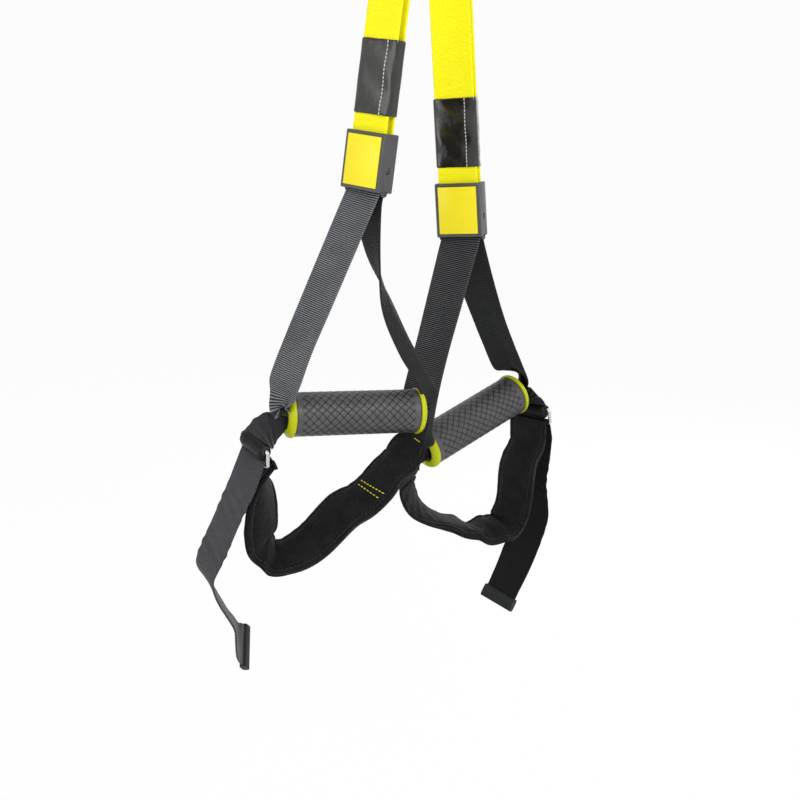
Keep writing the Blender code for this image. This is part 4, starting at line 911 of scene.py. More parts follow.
def woven(name, base, rib, pitch, slant, thread, rib_highlight_share, roughness=0.8, depth=0.00030, sheen=0.15):
    """Webbing: ribs every pitch, leaning by slant across the strip, painted lighter on their crests as a
    highlight over darker gaps of painted shade, with threads crossing each rib, worn pale along the selvedge."""
    made = Finish(name, {"Sheen Weight": sheen, "Sheen Roughness": 0.5, "Specular IOR Level": 0.25})
    across, along = made.pattern()
    lean = along * math.cos(slant) + across * math.sin(slant)
    cross = across * math.cos(slant) - along * math.sin(slant)
    wobble = made.noise(140.0, 2.0) * (pitch * 0.35)
    ribs = (lean + wobble).wave(pitch).ramp(0.30, 0.95)
    beads = (cross + lean * 0.5).wave(thread).ramp(0.0, 1.0, 0.55, 1.0)
    fibres = made.noise(1600.0, 2.0)
    # lit: the rib crests painted lighter toward the rib colour as a highlight, the gaps left dark as painted
    # shade; it also raises the ribs in the bump
    lit = ribs * beads
    wear = across.math("ABSOLUTE").ramp(WEBBING_WIDTH * 0.44, WEBBING_WIDTH * 0.5)
    soil = made.noise(38.0, 4.0).ramp(0.35, 0.7, 0.86, 1.06)
    amount = (lit * rib_highlight_share + wear * 0.10 + fibres * 0.10) * soil
    made.feed(base_color=amount.blend(tone(base), tone(rib)),
              roughness=ribs.ramp(0.0, 1.0, roughness, roughness - 0.12))
    made.bump(lit + fibres * 0.25, depth)
    MATERIALS[name] = made.material


def fleece(name, base, lint, roughness=0.80):
    """Brushed black cloth of the cradle: soft nap, faint lint and rubbed patches."""
    made = Finish(name, {"Sheen Weight": 0.07, "Sheen Roughness": 0.4, "Specular IOR Level": 0.16})
    nap = made.noise(700.0, 4.0, 0.75).ramp(0.25, 0.75)
    patches = made.noise(60.0, 4.0).ramp(0.38, 0.68)
    specks = made.noise(420.0, 1.0).ramp(0.70, 0.78, 0.0, 0.5)
    amount = nap * 0.35 + patches * 0.25 + specks * 0.25
    made.feed(base_color=amount.blend(tone(base), tone(lint)),
              roughness=nap.ramp(0.2, 0.8, roughness, roughness - 0.15))
    made.bump(nap + made.noise(160.0, 2.0) * 1.6, 0.00035)
    MATERIALS[name] = made.material


def moulded(name, base, light, roughness, grain=900.0, depth=0.00008, metallic=0.0, coat=0.0, gloss=0.5):
    """Moulded or coated surface: fine grain, soft colour drift and a rubbed sheen."""
    made = Finish(name, {"Metallic": metallic, "Coat Weight": coat, "Coat Roughness": 0.15,
                         "Specular IOR Level": gloss})
    drift = made.noise(30.0, 3.0).ramp(0.3, 0.7)
    fine = made.noise(grain, 3.0)
    scuff = made.noise(260.0, 2.0, stretch=(1.0, 1.0, 0.25)).ramp(0.55, 0.8)
    amount = drift * 0.5 + fine * 0.3 + scuff * 0.2
    made.feed(base_color=amount.blend(tone(base), tone(light)),
              roughness=(drift * 0.6 + fine * 0.4).ramp(0.2, 0.8, roughness - 0.05, roughness + 0.08))
    made.bump(fine, depth)
    MATERIALS[name] = made.material


def grooved(name, groove_shade, base, light, roughness):
    """Grip rubber: painted shade darkens the grooves, and the tops of the woven blocks are painted paler with
    their height, as rubbed wear and a painted highlight.
    """
    made = Finish(name, {"Specular IOR Level": 0.4})
    height = made.start.node("ShaderNodeAttribute", output=2, attribute_name="height")
    fine = made.noise(1500.0, 3.0)
    rubbed = made.noise(70.0, 3.0).ramp(0.4, 0.7)
    # Block tops paler by height: partly rubbed wear, partly a painted highlight; below, the groove colour is
    # painted shade in the recesses
    top = (height * 0.7 + rubbed * 0.2 + fine * 0.1).blend(tone(base), tone(light))
    colour = height.ramp(0.05, 0.75).blend(tone(groove_shade), top)
    made.feed(base_color=colour,
              roughness=(height * 0.6 + fine * 0.4).ramp(0.1, 1.0, roughness + 0.12, roughness))
    made.bump(fine + made.noise(420.0, 2.0) * 0.8, 0.00012)
    MATERIALS[name] = made.material


def polished(name, base, roughness, grain=700.0):
    """Plated metal with hairline scratches along it."""
    made = Finish(name, {"Metallic": 1.0})
    hair = made.noise(grain, 4.0, stretch=(0.2, 1.0, 1.0))
    smear = made.noise(50.0, 2.0)
    made.feed(base_color=smear.ramp(0.3, 0.7).blend(tone(base), tone(dimmed(base, 0.9))),
              roughness=(hair * 0.5 + smear * 0.5).ramp(0.3, 0.7, roughness - 0.05, roughness + 0.1))
    made.bump(hair, 0.00003)
    MATERIALS[name] = made.material


def rgb(*levels):
    """A display colour from levels out of 255."""
    return tuple(level / 255.0 for level in levels)


def dimmed(colour, share):
    return [level * share for level in colour]


def colour_property(name, description, levels):
    return bpy.props.FloatVectorProperty(name=name, description=description, subtype="COLOR_GAMMA", size=3,
                                         min=0.0, max=1.0, default=rgb(*levels))


def length_property(name, description, default):
    return bpy.props.FloatProperty(name=name, description=description, default=default, min=0.0,
                                   subtype="DISTANCE", unit="LENGTH", precision=5)


class TrainerColours(bpy.types.PropertyGroup):
    """Colours of the trainer's finishes."""

    webbing_yellow: colour_property("Yellow webbing", "Upper straps and tabs", (255, 247, 12))
    # The ribbed webbing's own grey, with the gaps between ribs darkened as painted shade and the pale rib
    # colour a painted highlight on the rib crests
    webbing_grey: colour_property("Grey webbing", "Gaps between the ribs of the ribbed webbing", (12, 13, 15))
    rib_grey_and_highlight: colour_property("Pale rib", "Ribs of the ribbed webbing", (150, 154, 159))
    webbing_black: colour_property("Black webbing", "Legs, loops and backing", (13, 14, 15))
    pad: colour_property("Cradle cloth", "Brushed cloth of the foot cradles", (6, 6, 7))
    cover: colour_property("Strap cover", "Glossy sleeve over the doubled strap", (12, 11, 10))
    keeper: colour_property("Keeper rubber", "Moulded keeper and anchor sleeve", (58, 58, 60))
    plate: colour_property("Badge plate", "Bare inset plate", (255, 236, 14))
    grip: colour_property("Grip rubber", "Top of the woven blocks", (49, 49, 50))
    cap: colour_property("Grip cap", "Domed end caps", (204, 212, 4))
    steel: colour_property("Steel", "Sliders, pins and bars", (208, 208, 212))
    alloy: colour_property("Black alloy", "Carabiner and buckle frames", (44, 44, 47))
    thread_pale: colour_property("Pale thread", "Stitching of the covers", (225, 225, 220))
    thread_dark: colour_property("Dark thread", "Stitching of the black webbing", (52, 53, 56))


class TrainerSizes(bpy.types.PropertyGroup):
    """Sizes of the dressing, in metres."""

    rib_pitch: length_property("Rib pitch", "From rib to rib of the ribbed webbing", 0.00175)
    twill_pitch: length_property("Twill pitch", "From line to line of the tail's twill", 0.0015)
    thread_pitch: length_property("Thread pitch", "From thread to thread along a rib", 0.0009)
    stitch: length_property("Stitch", "Length of one stitch", 0.0026)
    stitch_gap: length_property("Stitch gap", "From one stitch to the next", 0.0010)
    thread_radius: length_property("Thread radius", "Half the sewing thread's thickness", 0.00038)
    groove_depth: length_property("Groove depth", "Depth of the grip's grooves", 0.00055)
    pad_swell: length_property("Pad swell", "The most that the stuffed pad may swell", 0.0016)


def sizes():
    return bpy.context.scene.trainer_sizes


def pinch(share, along, width):
    """A fold that takes up the width that the strip has lost: deepest where it is narrowest."""
    spare = np.sqrt(np.maximum(WEBBING_WIDTH ** 2 - width ** 2, 0.0)) / 2.0
    full = np.clip(width / (FOLD_WIDTH_SHARE * WEBBING_WIDTH), 0.0, 1.0)
    deep = np.minimum(spare * PINCH_SHARE * full, PINCH_LIMIT)
    return deep * (2.0 * np.sqrt(share ** 2 + PINCH_ROUNDING) - PINCH_CREST_SHARE)


def smooth(values):
    """0 to 1 with level ends."""
    values = np.clip(values, 0.0, 1.0)
    return values * values * (3.0 - 2.0 * values)


def to_edge(parts):
    """How far places in a cell, from 0 to 1, lie from its nearer edge."""
    return np.minimum(parts, 1.0 - parts)


SOLID_SLOTS = {row["node"]: row["material_slot"] for row in frame["record"]["subparts"]}


def simple_piece(name, finish):
    """A merged, smooth-shaded copy of a solid that already has the right shape."""
    source = frame["nodes"][name]
    mesh = source.data.copy()
    shape = bmesh.new()
    shape.from_mesh(mesh)
    bmesh.ops.remove_doubles(shape, verts=shape.verts, dist=MERGE_DISTANCE)
    shape.to_mesh(mesh)
    shape.free()
    mesh.materials.clear()
    shown(name + "_smooth", mesh, finish, source["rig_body"], SOLID_SLOTS[name], [name], SMOOTH_ANGLE)


class TRAINER_OT_finishes(bpy.types.Operator):
    """Mix every finish of the trainer"""

    bl_idname = "trainer.finishes"
    bl_label = "Finishes"

    def execute(self, context):
        hue, size = bpy.context.scene.trainer_colours, sizes()
        rib, twill, thread = size.rib_pitch, size.twill_pitch, size.thread_pitch
        woven("webbing_yellow", hue.webbing_yellow, hue.webbing_yellow, 0.0016, 0.10, thread, 0.9,
              roughness=0.7, depth=0.00015, sheen=0.05)
        # webbing_ribbed, webbing_black and webbing_dark_ribbed: the paler rib colour is a painted highlight
        # on the rib crests, the darker base painted shade in the gaps
        woven("webbing_ribbed", dimmed(hue.webbing_grey, 0.7), hue.rib_grey_and_highlight, rib, 0.0, thread, 0.85)
        woven("webbing_twill", rgb(13, 13, 16), rgb(92, 93, 101), twill, 0.75, 0.0013, 0.85)
        woven("webbing_black", hue.webbing_black, rgb(58, 60, 63), rib, 0.0, thread, 0.6, sheen=0.03)
        woven("webbing_dark_ribbed", rgb(8, 8, 9), rgb(104, 105, 108), rib, 0.0, thread, 0.75, sheen=0.03)
        woven("webbing_matt", rgb(2, 2, 2), rgb(9, 9, 10), 0.0015, 0.6, 0.0012, 0.6, sheen=0.0)
        woven("webbing_worn", rgb(30, 30, 33), rgb(64, 64, 70), 0.0012, 0.0, 0.0010, 0.25, depth=0.00008)
        moulded("binding", rgb(5, 5, 6), rgb(18, 18, 19), 0.5, grain=500.0, depth=0.0002, gloss=0.22)
        fleece("pad_black", hue.pad, rgb(38, 38, 41))
        moulded("cover_black", hue.cover, rgb(40, 38, 33), 0.24, grain=120.0, depth=0.0004, coat=0.3)
        moulded("keeper_rubber", hue.keeper, rgb(92, 92, 95), 0.55)
        moulded("badge_yellow", dimmed(hue.plate, 0.97), hue.plate, 0.42, depth=0.00003)
        moulded("cap_lime", dimmed(hue.cap, 0.86), hue.cap, 0.38, depth=0.00003, gloss=0.3)
        moulded("tube_plastic", rgb(30, 30, 31), rgb(52, 52, 53), 0.5)
        moulded("alloy_black", hue.alloy, rgb(72, 72, 76), 0.34, grain=500.0, metallic=0.7)
        moulded("thread_pale", dimmed(hue.thread_pale, 0.85), hue.thread_pale, 0.6)
        moulded("thread_dark", dimmed(hue.thread_dark, 0.7), hue.thread_dark, 0.7)
        moulded("thread_yellow", rgb(214, 200, 20), rgb(246, 236, 50), 0.6)
        # The first colour is painted shade in the grooves; the paler block tops are partly rubbed wear,
        # partly a painted highlight
        grooved("grip_rubber", rgb(10, 10, 11), dimmed(hue.grip, 0.80), dimmed(hue.grip, 1.7), 0.34)
        polished("steel", hue.steel, 0.18)
        return {"FINISHED"}


class TRAINER_OT_metalwork(bpy.types.Operator):
    """Make the carabiner, equaliser bar, buckles, pins and wire sliders"""

    bl_idname = "trainer.metalwork"
    bl_label = "Metalwork"

    def execute(self, context):
        self.carabiner()
        simple_piece("equaliser_bar", "alloy_black")
        for name in ("gate_pin", "gate_spring", "carabiner_gate"):
            simple_piece(name, "steel")
        for side in SIDES:
            for word, finish in (("_cam_pin", "steel"), ("_cam_spring", "steel"),
                                 ("_keeper_lower_bar", "keeper_rubber"),
                                 ("_keeper_upper_bar", "keeper_rubber"),
                                 ("_cam_lever", "keeper_rubber"), ("_cam_frame", "alloy_black")):
                simple_piece(side + word, finish)
            self.slider(Leg(side))
        return {"FINISHED"}

    def carabiner(self):
        """A rod round two small corners and the wide bow, and two cheeks that carry the gate's pin."""
        bottom = CARABINER_ROD - CARABINER_HEIGHT
        half = CARABINER_HALF_WIDTH
        pin_up = bottom + GATE_PIN_HEIGHT
        start_up = pin_up - GATE_EYE_RADIUS - RUNNING_GAP
        bow_up = CARABINER_ROD - half
        corner = CARABINER_CORNER
        route = [
            np.array([(0.0, -half, start_up)]),
            arc(np.array((0.0, corner - half, bottom + corner)), -Y, -Z, corner, 0.0, 90.0),
            arc(np.array((0.0, half - corner, bottom + corner)), -Z, Y, corner, 0.0, 90.0),
            arc(np.array((0.0, 0.0, bow_up)), Y, Z, half, 0.0, 180.0, 3 * ARC_STEPS),
            np.array([(0.0, -half, bow_up - NOSE_LENGTH)]),
        ]
        angle = np.radians(np.linspace(0.0, 180.0, ARC_STEPS))
        eye = np.stack([CHEEK_RADIUS * np.cos(angle) - half, CHEEK_RADIUS * np.sin(angle) + pin_up], -1)
        root = start_up - CHEEK_ROOT
        outline = np.vstack([eye, [(-CHEEK_RADIUS - half, root), (CHEEK_RADIUS - half, root)]])
        fork = GATE_FORK_WIDTH / 2.0
        cheeks = [pushed(outline, limits) for limits in ((-fork - CHEEK_THICKNESS, -fork),
                                                         (fork, fork + CHEEK_THICKNESS))]
        rod = wire(np.vstack(route), CARABINER_ROD, ROD_COLUMNS)
        put("carabiner", [rod] + cheeks, "alloy_black", "anchor", "alloy_black", ["carabiner_body"])

    def slider(self, leg):
        """A wire bent to a rounded rectangle: its corners' arcs, joined by straights."""
        width = WEBBING_WIDTH / 2.0
        height = SLIDER_HEIGHT / 2.0 - SLIDER_MARGIN
        corners = ((1.0, 1.0, 0.0), (-1.0, 1.0, 90.0), (-1.0, -1.0, 180.0), (1.0, -1.0, 270.0))
        bends = [arc(np.array((across * width, 0.0, rise * height)), X, Z, SLIDER_MARGIN, start, start + 90.0)
                 for across, rise, start in corners]
        leg.put("_slider", [wire(leg.slider.at(np.vstack(bends)), SLIDER_WIRE, closed=True)], "steel",
                "_cradle", "steel", "_slider_frame")


class TRAINER_OT_keepers(bpy.types.Operator):
    """Finish the moulded keepers, plates and wear sleeve, and make the glossy strap covers"""

    bl_idname = "trainer.keepers"
    bl_label = "Keepers and Covers"

    def execute(self, context):
        simple_piece("anchor_sleeve", "keeper_rubber")
        for side in SIDES:
            simple_piece(side + "_keeper_sleeve", "keeper_rubber")
            simple_piece(side + "_badge_plate", "badge_yellow")
            self.cover(Leg(side))
        return {"FINISHED"}

    def cover(self, leg):
        """Sleeve: a rounded rectangle, super-ellipse |cos|^p, |sin|^p, whose sides breathe in waves."""
        size = sizes()
        inner = np.array((WEBBING_WIDTH / 2.0 + SEAT_GAP, leg.front + WEBBING_THICKNESS / 2.0 + SEAT_GAP))
        low = KEEPER_HEIGHT + COVER_GAP
        angle = np.linspace(0.0, 2.0 * math.pi, 2 * ROUND_COLUMNS + 1)
        cos, sin = np.cos(angle[:-1]), np.sin(angle[:-1])

        def wave(height, share):
            return COVER_WAVE_HEIGHT * np.sin(height * COVER_WAVE_RATE + COVER_WAVE_LEAN * share)

        def ring(grown, height):
            reach = inner + grown
            x = np.sign(cos) * np.abs(cos) ** COVER_CORNER_POWER * reach[0]
            y = np.sign(sin) * np.abs(sin) ** COVER_CORNER_POWER * reach[1]
            breath = wave(height, x / reach[0]) * (np.abs(y) / reach[1]) ** 4
            return np.stack([x, y + np.sign(y) * (breath if grown > 0.0 else 0.0), 0.0 * x + height], -1)

        heights = np.linspace(low, low + COVER_LENGTH, COVER_ROWS)
        grown = np.full(COVER_ROWS, COVER_WALL)
        grown[[0, -1]] -= COVER_LIP
        outer = [ring(wall, height) for wall, height in zip(grown, heights)]
        inside = [ring(0.0, height) for height in heights[::-1]]
        marks = np.concatenate([heights, heights[-1] + COVER_WALL + heights[-1] - heights[::-1]])
        marks = np.append(marks, marks[-1] + COVER_WALL) - low
        shell = tube(leg.keeper.at(np.stack(outer + inside)), angle * PATTERN_RADIUS, marks, loop=True)
        leg.put("_cover", [shell], "cover_black", "_keeper", "cover_black", "_strap_cover")

        reach = inner + COVER_WALL
        seam = WEBBING_WIDTH * COVER_SEAM_SHARE
        count = int((COVER_LENGTH - COVER_SEAM_MARGIN) / (size.stitch + size.stitch_gap * COVER_GAP_SHARE))
        ups = low + (np.arange(count) + 0.5) * COVER_LENGTH / count
        depth = reach[1] + wave(ups, seam / reach[0])
        _, back, up = leg.keeper.axes
        shells = [threads(leg.keeper.at(np.stack([np.full(count, seam), face * depth, ups], -1)),
                          np.tile(up, (count, 1)), np.tile(back * face, (count, 1)),
                          size.stitch, size.thread_radius * COVER_THREAD_SHARE) for face in (-1.0, 1.0)]
        leg.put("_cover_stitches", shells, "thread_pale", "_keeper", "cover_black")


class TRAINER_OT_straps(bpy.types.Operator):
    """Weave the anchor loop, the yellow straps and their tabs, and sew their ends"""

    bl_idname = "trainer.straps"
    bl_label = "Straps"

    def execute(self, context):
        self.anchor_loop()
        for leg in map(Leg, SIDES):
            self.upper_strap(leg)
            self.lower_strap(leg)
            self.tab(leg)
        return {"FINISHED"}

    def anchor_loop(self):
        """A belt round the carabiner's rod and the equaliser bar, drawn in by its sleeve."""
        bottom = CARABINER_ROD - CARABINER_HEIGHT
        rod, bar = Z * bottom, Z * (bottom - ANCHOR_DROP)
        middle = (rod + bar) / 2.0
        waist = X * ((WEBBING_THICKNESS + SEAT_GAP) / 2.0)
        span = Z * (ANCHOR_SLEEVE_LENGTH / 2.0)
        upper = CARABINER_ROD + SEAT_GAP + WEBBING_THICKNESS / 2.0
        lower = EQUALISER_RADIUS + SEAT_GAP + WEBBING_THICKNESS / 2.0
        route = [arc(rod, X, Z, upper, 0.0, 180.0), middle + span - waist, middle - span - waist,
                 arc(bar, X, Z, lower, 180.0, 360.0), middle - span + waist, middle + span + waist]
        band = Band(rows_of(np.vstack(route), -Y, WEBBING_WIDTH), WEBBING_THICKNESS, closed=True)
        put("anchor_belt", [band.shell()], "webbing_black", "anchor_strap", "webbing_black", ["anchor_loop"])
        turn = math.pi * upper
        marks = [turn + mark for mark in LOOP_SEAMS]
        marks += [band.along[-1] - mark + turn for mark in marks]
        put("anchor_stitches", [sewn(band, [(-SEAM_SHARE, mark), (SEAM_SHARE, mark)]) for mark in marks],
            "thread_dark", "anchor_strap", "webbing_black")

    def upper_strap(self, leg):
        """Sewn loop over the bar, then a flat run that turns to face the buckle."""
        side = leg.side
        wrap = EQUALISER_RADIUS + SEAT_GAP + WEBBING_THICKNESS / 2.0
        touch = (WEBBING_THICKNESS + SEAT_GAP) / 2.0
        short = -X * side["hang"]
        top = leg.strap.origin
        across, back, up = leg.strap.axes
        ends = [top - up * STRAP_END_LENGTH + short * touch,
                top - up * (STRAP_END_LENGTH / 2.0) + short * touch * 2.0,
                arc(top, short, Z, wrap, 0.0, 180.0),
                top - up * (STRAP_END_LENGTH / 2.0) - short * touch * 2.0,
                top - up * STRAP_END_LENGTH - short * touch]
        rows = rows_of(np.vstack(ends), -Y, WEBBING_WIDTH)
        nip = top - up * (side["cam_drop"] - SEAT_GAP / 2.0) - back * leg.front
        frame_top = nip + up * (CAM_PLATE_HEIGHT / 2.0)
        share = np.linspace(0.0, 1.0, STRAP_TURN_STEPS)[1:, None]
        turned_across = unit(-Y * (1.0 - share) + across * share)
        run = rows_of(rows[-1, :3] + (frame_top - rows[-1, :3]) * share, turned_across, WEBBING_WIDTH)
        rows = np.vstack([rows, run, rows_of(nip, across, WEBBING_WIDTH)])
        band = Band(rows, WEBBING_THICKNESS)
        piece = leg.put("_strap_upper", [band.shell()], "webbing_yellow", None, "webbing_yellow",
                        "_upper_strap")
        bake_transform(piece)
        far_end = rows[len(ends[2]) + 3, :3]
        lap = band.along[np.argmin(np.linalg.norm(band.place - far_end, axis=1))]
        box = crossed_box(STRAP_SEAM_START, STRAP_END_LENGTH - STRAP_SEAM_MARGIN)
        shells = [sewn(band, box, lift) for lift in (1.0, -1.0)]
        shells.append(sewn(band, [(share, lap - along) for share, along in box]))
        leg.put("_strap_upper_stitches", shells, "thread_dark", "_leg", "webbing_black")

    def lower_strap(self, leg):
        """Doubled strap: down through the cover, round the keeper's bar, up to the buckle's bar."""
        keeper = leg.keeper
        rise = leg.reach - leg.side["cam_drop"]
        across, back, up = keeper.axes
        wrap = CAM_BAR_RADIUS + SEAT_GAP + WEBBING_THICKNESS / 2.0
        depth = leg.front + wrap
        bar_up = rise - CAM_BAR_DROP
        route = [keeper.at((0.0, -leg.front, rise - SEAT_GAP / 2.0)),
                 keeper.at((0.0, -leg.front, rise / 2.0)),
                 arc(keeper.at((0.0, 0.0, KEEPER_UPPER_BAR_HEIGHT)), -back, -up, leg.front, 0.0, 180.0),
                 keeper.at((0.0, leg.front, rise / 2.0)),
                 arc(keeper.at((0.0, depth, bar_up)), -back, up, wrap, 0.0, 180.0),
                 keeper.at((0.0, depth + wrap, bar_up - SEWN_END_LENGTH))]
        band = Band(rows_of(np.vstack(route), across, WEBBING_WIDTH), WEBBING_THICKNESS)
        piece = leg.put("_strap_lower", [band.shell()], "webbing_yellow", None, "webbing_yellow",
                        "_lower_strap")
        top = keeper.at((0.0, 0.0, bar_up - SEWN_END_LENGTH - BAND_SPACING))
        low = keeper.at((0.0, 0.0, KEEPER_HEIGHT + COVER_GAP + COVER_LENGTH + BAND_SPACING))
        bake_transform(piece)
        box = crossed_box(band.along[-1] - SEAM_MARGIN, band.along[-1] - LOWER_SEAM_END)
        leg.put("_strap_lower_stitches", [sewn(band, box, lift) for lift in (1.0, -1.0)], "thread_dark",
                "_cam", "webbing_black")

    def tab(self, leg):
        """Pull tab: a narrow tape doubled round the buckle's bar and sewn flat."""
        strap_face = leg.front + WEBBING_THICKNESS / 2.0
        radius = TAB_BAR_RADIUS + SEAT_GAP + TAB_THICKNESS
        layer = TAB_THICKNESS / 2.0
        centre = np.array((0.0, -strap_face - SEAT_GAP - radius, radius - CAM_PLATE_HEIGHT / 2.0))
        wrap = radius - layer / 2.0
        end = centre[2] - TAB_LENGTH
        face = centre[1] + wrap
        other = face - layer - SEAT_GAP / 2.0
        turn = arc(centre, Y, Z, wrap, 0.0, TAB_WRAP_ANGLE, 2 * ARC_STEPS)
        route = np.vstack([(0.0, face, end), (0.0, face, centre[2] - TAB_PARTING), turn,
                           (0.0, other, centre[2] - TAB_CLOSING), (0.0, other, end)])
        band = Band(rows_of(leg.cam.at(route), leg.cam.axes[0], TAB_WIDTH), layer - SEAT_GAP / 2.0)
        leg.put("_tab", [band.shell()], "webbing_yellow", "_cam", "webbing_yellow", "_adjustment_tab")
        total = band.along[-1]
        box = crossed_box(total - SEAM_MARGIN, total - TAB_SEAM_END)
        far = [(share, total - along) for share, along in box]
        outward = 1.0 if band.normal[-2] @ -leg.cam.axes[1] > 0.0 else -1.0
        leg.put("_tab_stitches", [sewn(band, corners, outward) for corners in (box, far)], "thread_dark",
                "_cam", "webbing_black")


class TRAINER_OT_handles(bpy.types.Operator):
    """Make the handle webbing, its core and the grips with their caps"""

    bl_idname = "trainer.handles"
    bl_label = "Handles"

    def execute(self, context):
        for leg in map(Leg, SIDES):
            for word, direction in (("front", -1.0), ("back", 1.0)):
                self.strip(leg, word, direction)
            reach = cap_end() - CORE_MARGIN
            core = rows_of(leg.grip.at([(-reach, 0.0, 0.0), (reach, 0.0, 0.0)]), leg.grip.axes[2], CORE_WIDTH)
            leg.put("_core", [Band(core, CORE_THICKNESS).shell()], "webbing_black", "_handle",
                    "webbing_black", "_core_webbing")
            self.rubber(leg)
            simple_piece(leg.name + "_grip_tube", "tube_plastic")
            self.caps(leg)
        return {"FINISHED"}

    def strip(self, leg, word, direction):
        """Over the keeper's bar and down one side, narrowing into a fold at the tube's mouth."""
        look = leg.side[word]
        across, back, up = leg.keeper.axes
        along, grip_back, grip_up = leg.grip.axes
        middle = leg.grip.origin
        outward = along * direction
        end = cap_end()
        wrap = KEEPER_BAR_RADIUS + SEAT_GAP + LEG_THICKNESS / 2.0
        parting = math.degrees(LEG_PARTING / wrap)
        over = rows_of(arc(leg.keeper.origin, back * direction, up, wrap, 90.0 - parting, 0.0), across,
                       WEBBING_WIDTH)
        start = over[-1, :3]
        shoulder = middle + outward * (end + SHOULDER_OUT + look["out"]) + grip_up * SHOULDER_UP
        run = unit(shoulder - start)
        turn = -np.radians(look["twists"])[:, None]
        spun = across * np.cos(turn) + np.cross(Z, across) * np.sin(turn)
        low_across = unit(spun[-1] - run * (spun[-1] @ run))
        share = LEG_SHARES[:, None]
        place = start + (shoulder - start) * share + look["bow"] * (4.0 * share * (1.0 - share))
        width = WEBBING_WIDTH * (1.0 - share ** 2 * (1.0 - SHOULDER_WIDTH_SHARE))
        down = rows_of(place, unit(spun - run * dot(spun, run)), width)
        last_across = grip_up * -direction
        tuck = grip_up * (TUCK_MARGIN + TUCK_WIDTH / 2.0)
        if word == "front":
            folds = [rows_of(middle + outward * (end + out_by) + grip_up * up_by - grip_back * front_by,
                             unit(low_across * (1.0 - turn_by) + last_across * turn_by),
                             WEBBING_WIDTH * share_by)
                     for out_by, front_by, up_by, turn_by, share_by in NEAR_FOLDS]
        else:
            folds = [rows_of(shoulder, low_across, WEBBING_WIDTH * SHOULDER_WIDTH_SHARE),
                     rows_of(middle + outward * (end + FOLD_OUT) + grip_up * FOLD_UP,
                             unit(low_across + last_across), WEBBING_WIDTH * FAR_FOLD_SHARE)]
        lead, tip = (rows_of(middle + outward * (end + past) + tuck, last_across, TUCK_WIDTH)
                     for past in (TUCK_LEAD, SEAT_GAP - TUCK_DEPTH))
        rows = np.vstack([over[:-1], curved(np.vstack([over[-1:], down] + folds + [lead])), tip])
        band = Band(rows, LEG_THICKNESS, skewed=True, relief=pinch)
        solid = "_" + word + "_webbing"
        leg.put(solid + "_woven", [band.shell()], look["finish"], "_handle", look["slot"], solid)

    def rubber(self, leg):
        """Grip: radius R less groove depth x (1 - height), on a lattice of the diagonals
        a, b = length / pitch +- turns x cells. In every other cell a strip lies along a, else along b:
        its height falls off steeply at its sides and gently where it dives under its neighbours."""
        half = GRIP_LENGTH / 2.0
        bore = GRIP_RADIUS - RUBBER_THICKNESS + SEAT_GAP
        circumference = 2.0 * math.pi * GRIP_RADIUS
        x = np.linspace(-half + GRIP_EDGE, half - GRIP_EDGE, int(GRIP_LENGTH / GRIP_SPACING))
        angle = np.linspace(0.0, 2.0 * math.pi, int(circumference / GRIP_SPACING) + 1)
        pitch = circumference / GRIP_CELLS_ROUND
        turns = angle[None, :-1] / (2.0 * math.pi) * GRIP_CELLS_ROUND
        first = turns + x[:, None] / pitch
        second = x[:, None] / pitch - turns
        lying = np.mod(np.floor(first) + np.floor(second), 2.0) < 1.0
        part_a, part_b = first % 1.0, second % 1.0
        side = smooth(to_edge(np.where(lying, part_b, part_a)) / GRIP_GROOVE_SHARE)
        dive = smooth(to_edge(np.where(lying, part_a, part_b)) / GRIP_DIVE_SHARE)
        rise = side * (1.0 - GRIP_DIVE_DEPTH + GRIP_DIVE_DEPTH * dive)
        plain = np.clip((half - np.abs(x) - GRIP_PLAIN_END) / GRIP_PLAIN_RAMP, 0.0, 1.0)[:, None]
        height = 1.0 - (1.0 - rise) * plain
        radius = GRIP_RADIUS - sizes().groove_depth * (1.0 - height)
        around = np.stack([0.0 * angle[:-1], np.cos(angle[:-1]), np.sin(angle[:-1])], -1)
        shoulder = GRIP_RADIUS - GRIP_EDGE
        ends = [[(reach * around + place * X)[None] for reach, place in pair]
                for pair in (((bore, -half), (shoulder, -half)), ((shoulder, half), (bore, half)))]
        body = radius[..., None] * around[None] + x[:, None, None] * X
        points = np.concatenate(ends[0] + [body] + ends[1])
        step = GRIP_END_PATTERN
        marks = np.concatenate([[-half - step, -half], x, [half, half + step, half + 2.0 * step]])
        piece = leg.put("_grip_sleeve", [tube(leg.grip.at(points), angle * GRIP_RADIUS, marks, loop=True)],
                        "grip_rubber", "_grip", "grip_rubber", "_grip_rubber", crisp=GRIP_SMOOTH_ANGLE)
        heights = np.ones(points.shape[:2])
        heights[2:-2] = height
        layer = piece.data.attributes.new("height", "FLOAT", "POINT")
        layer.data.foreach_set("value", heights.ravel().astype(np.float32))

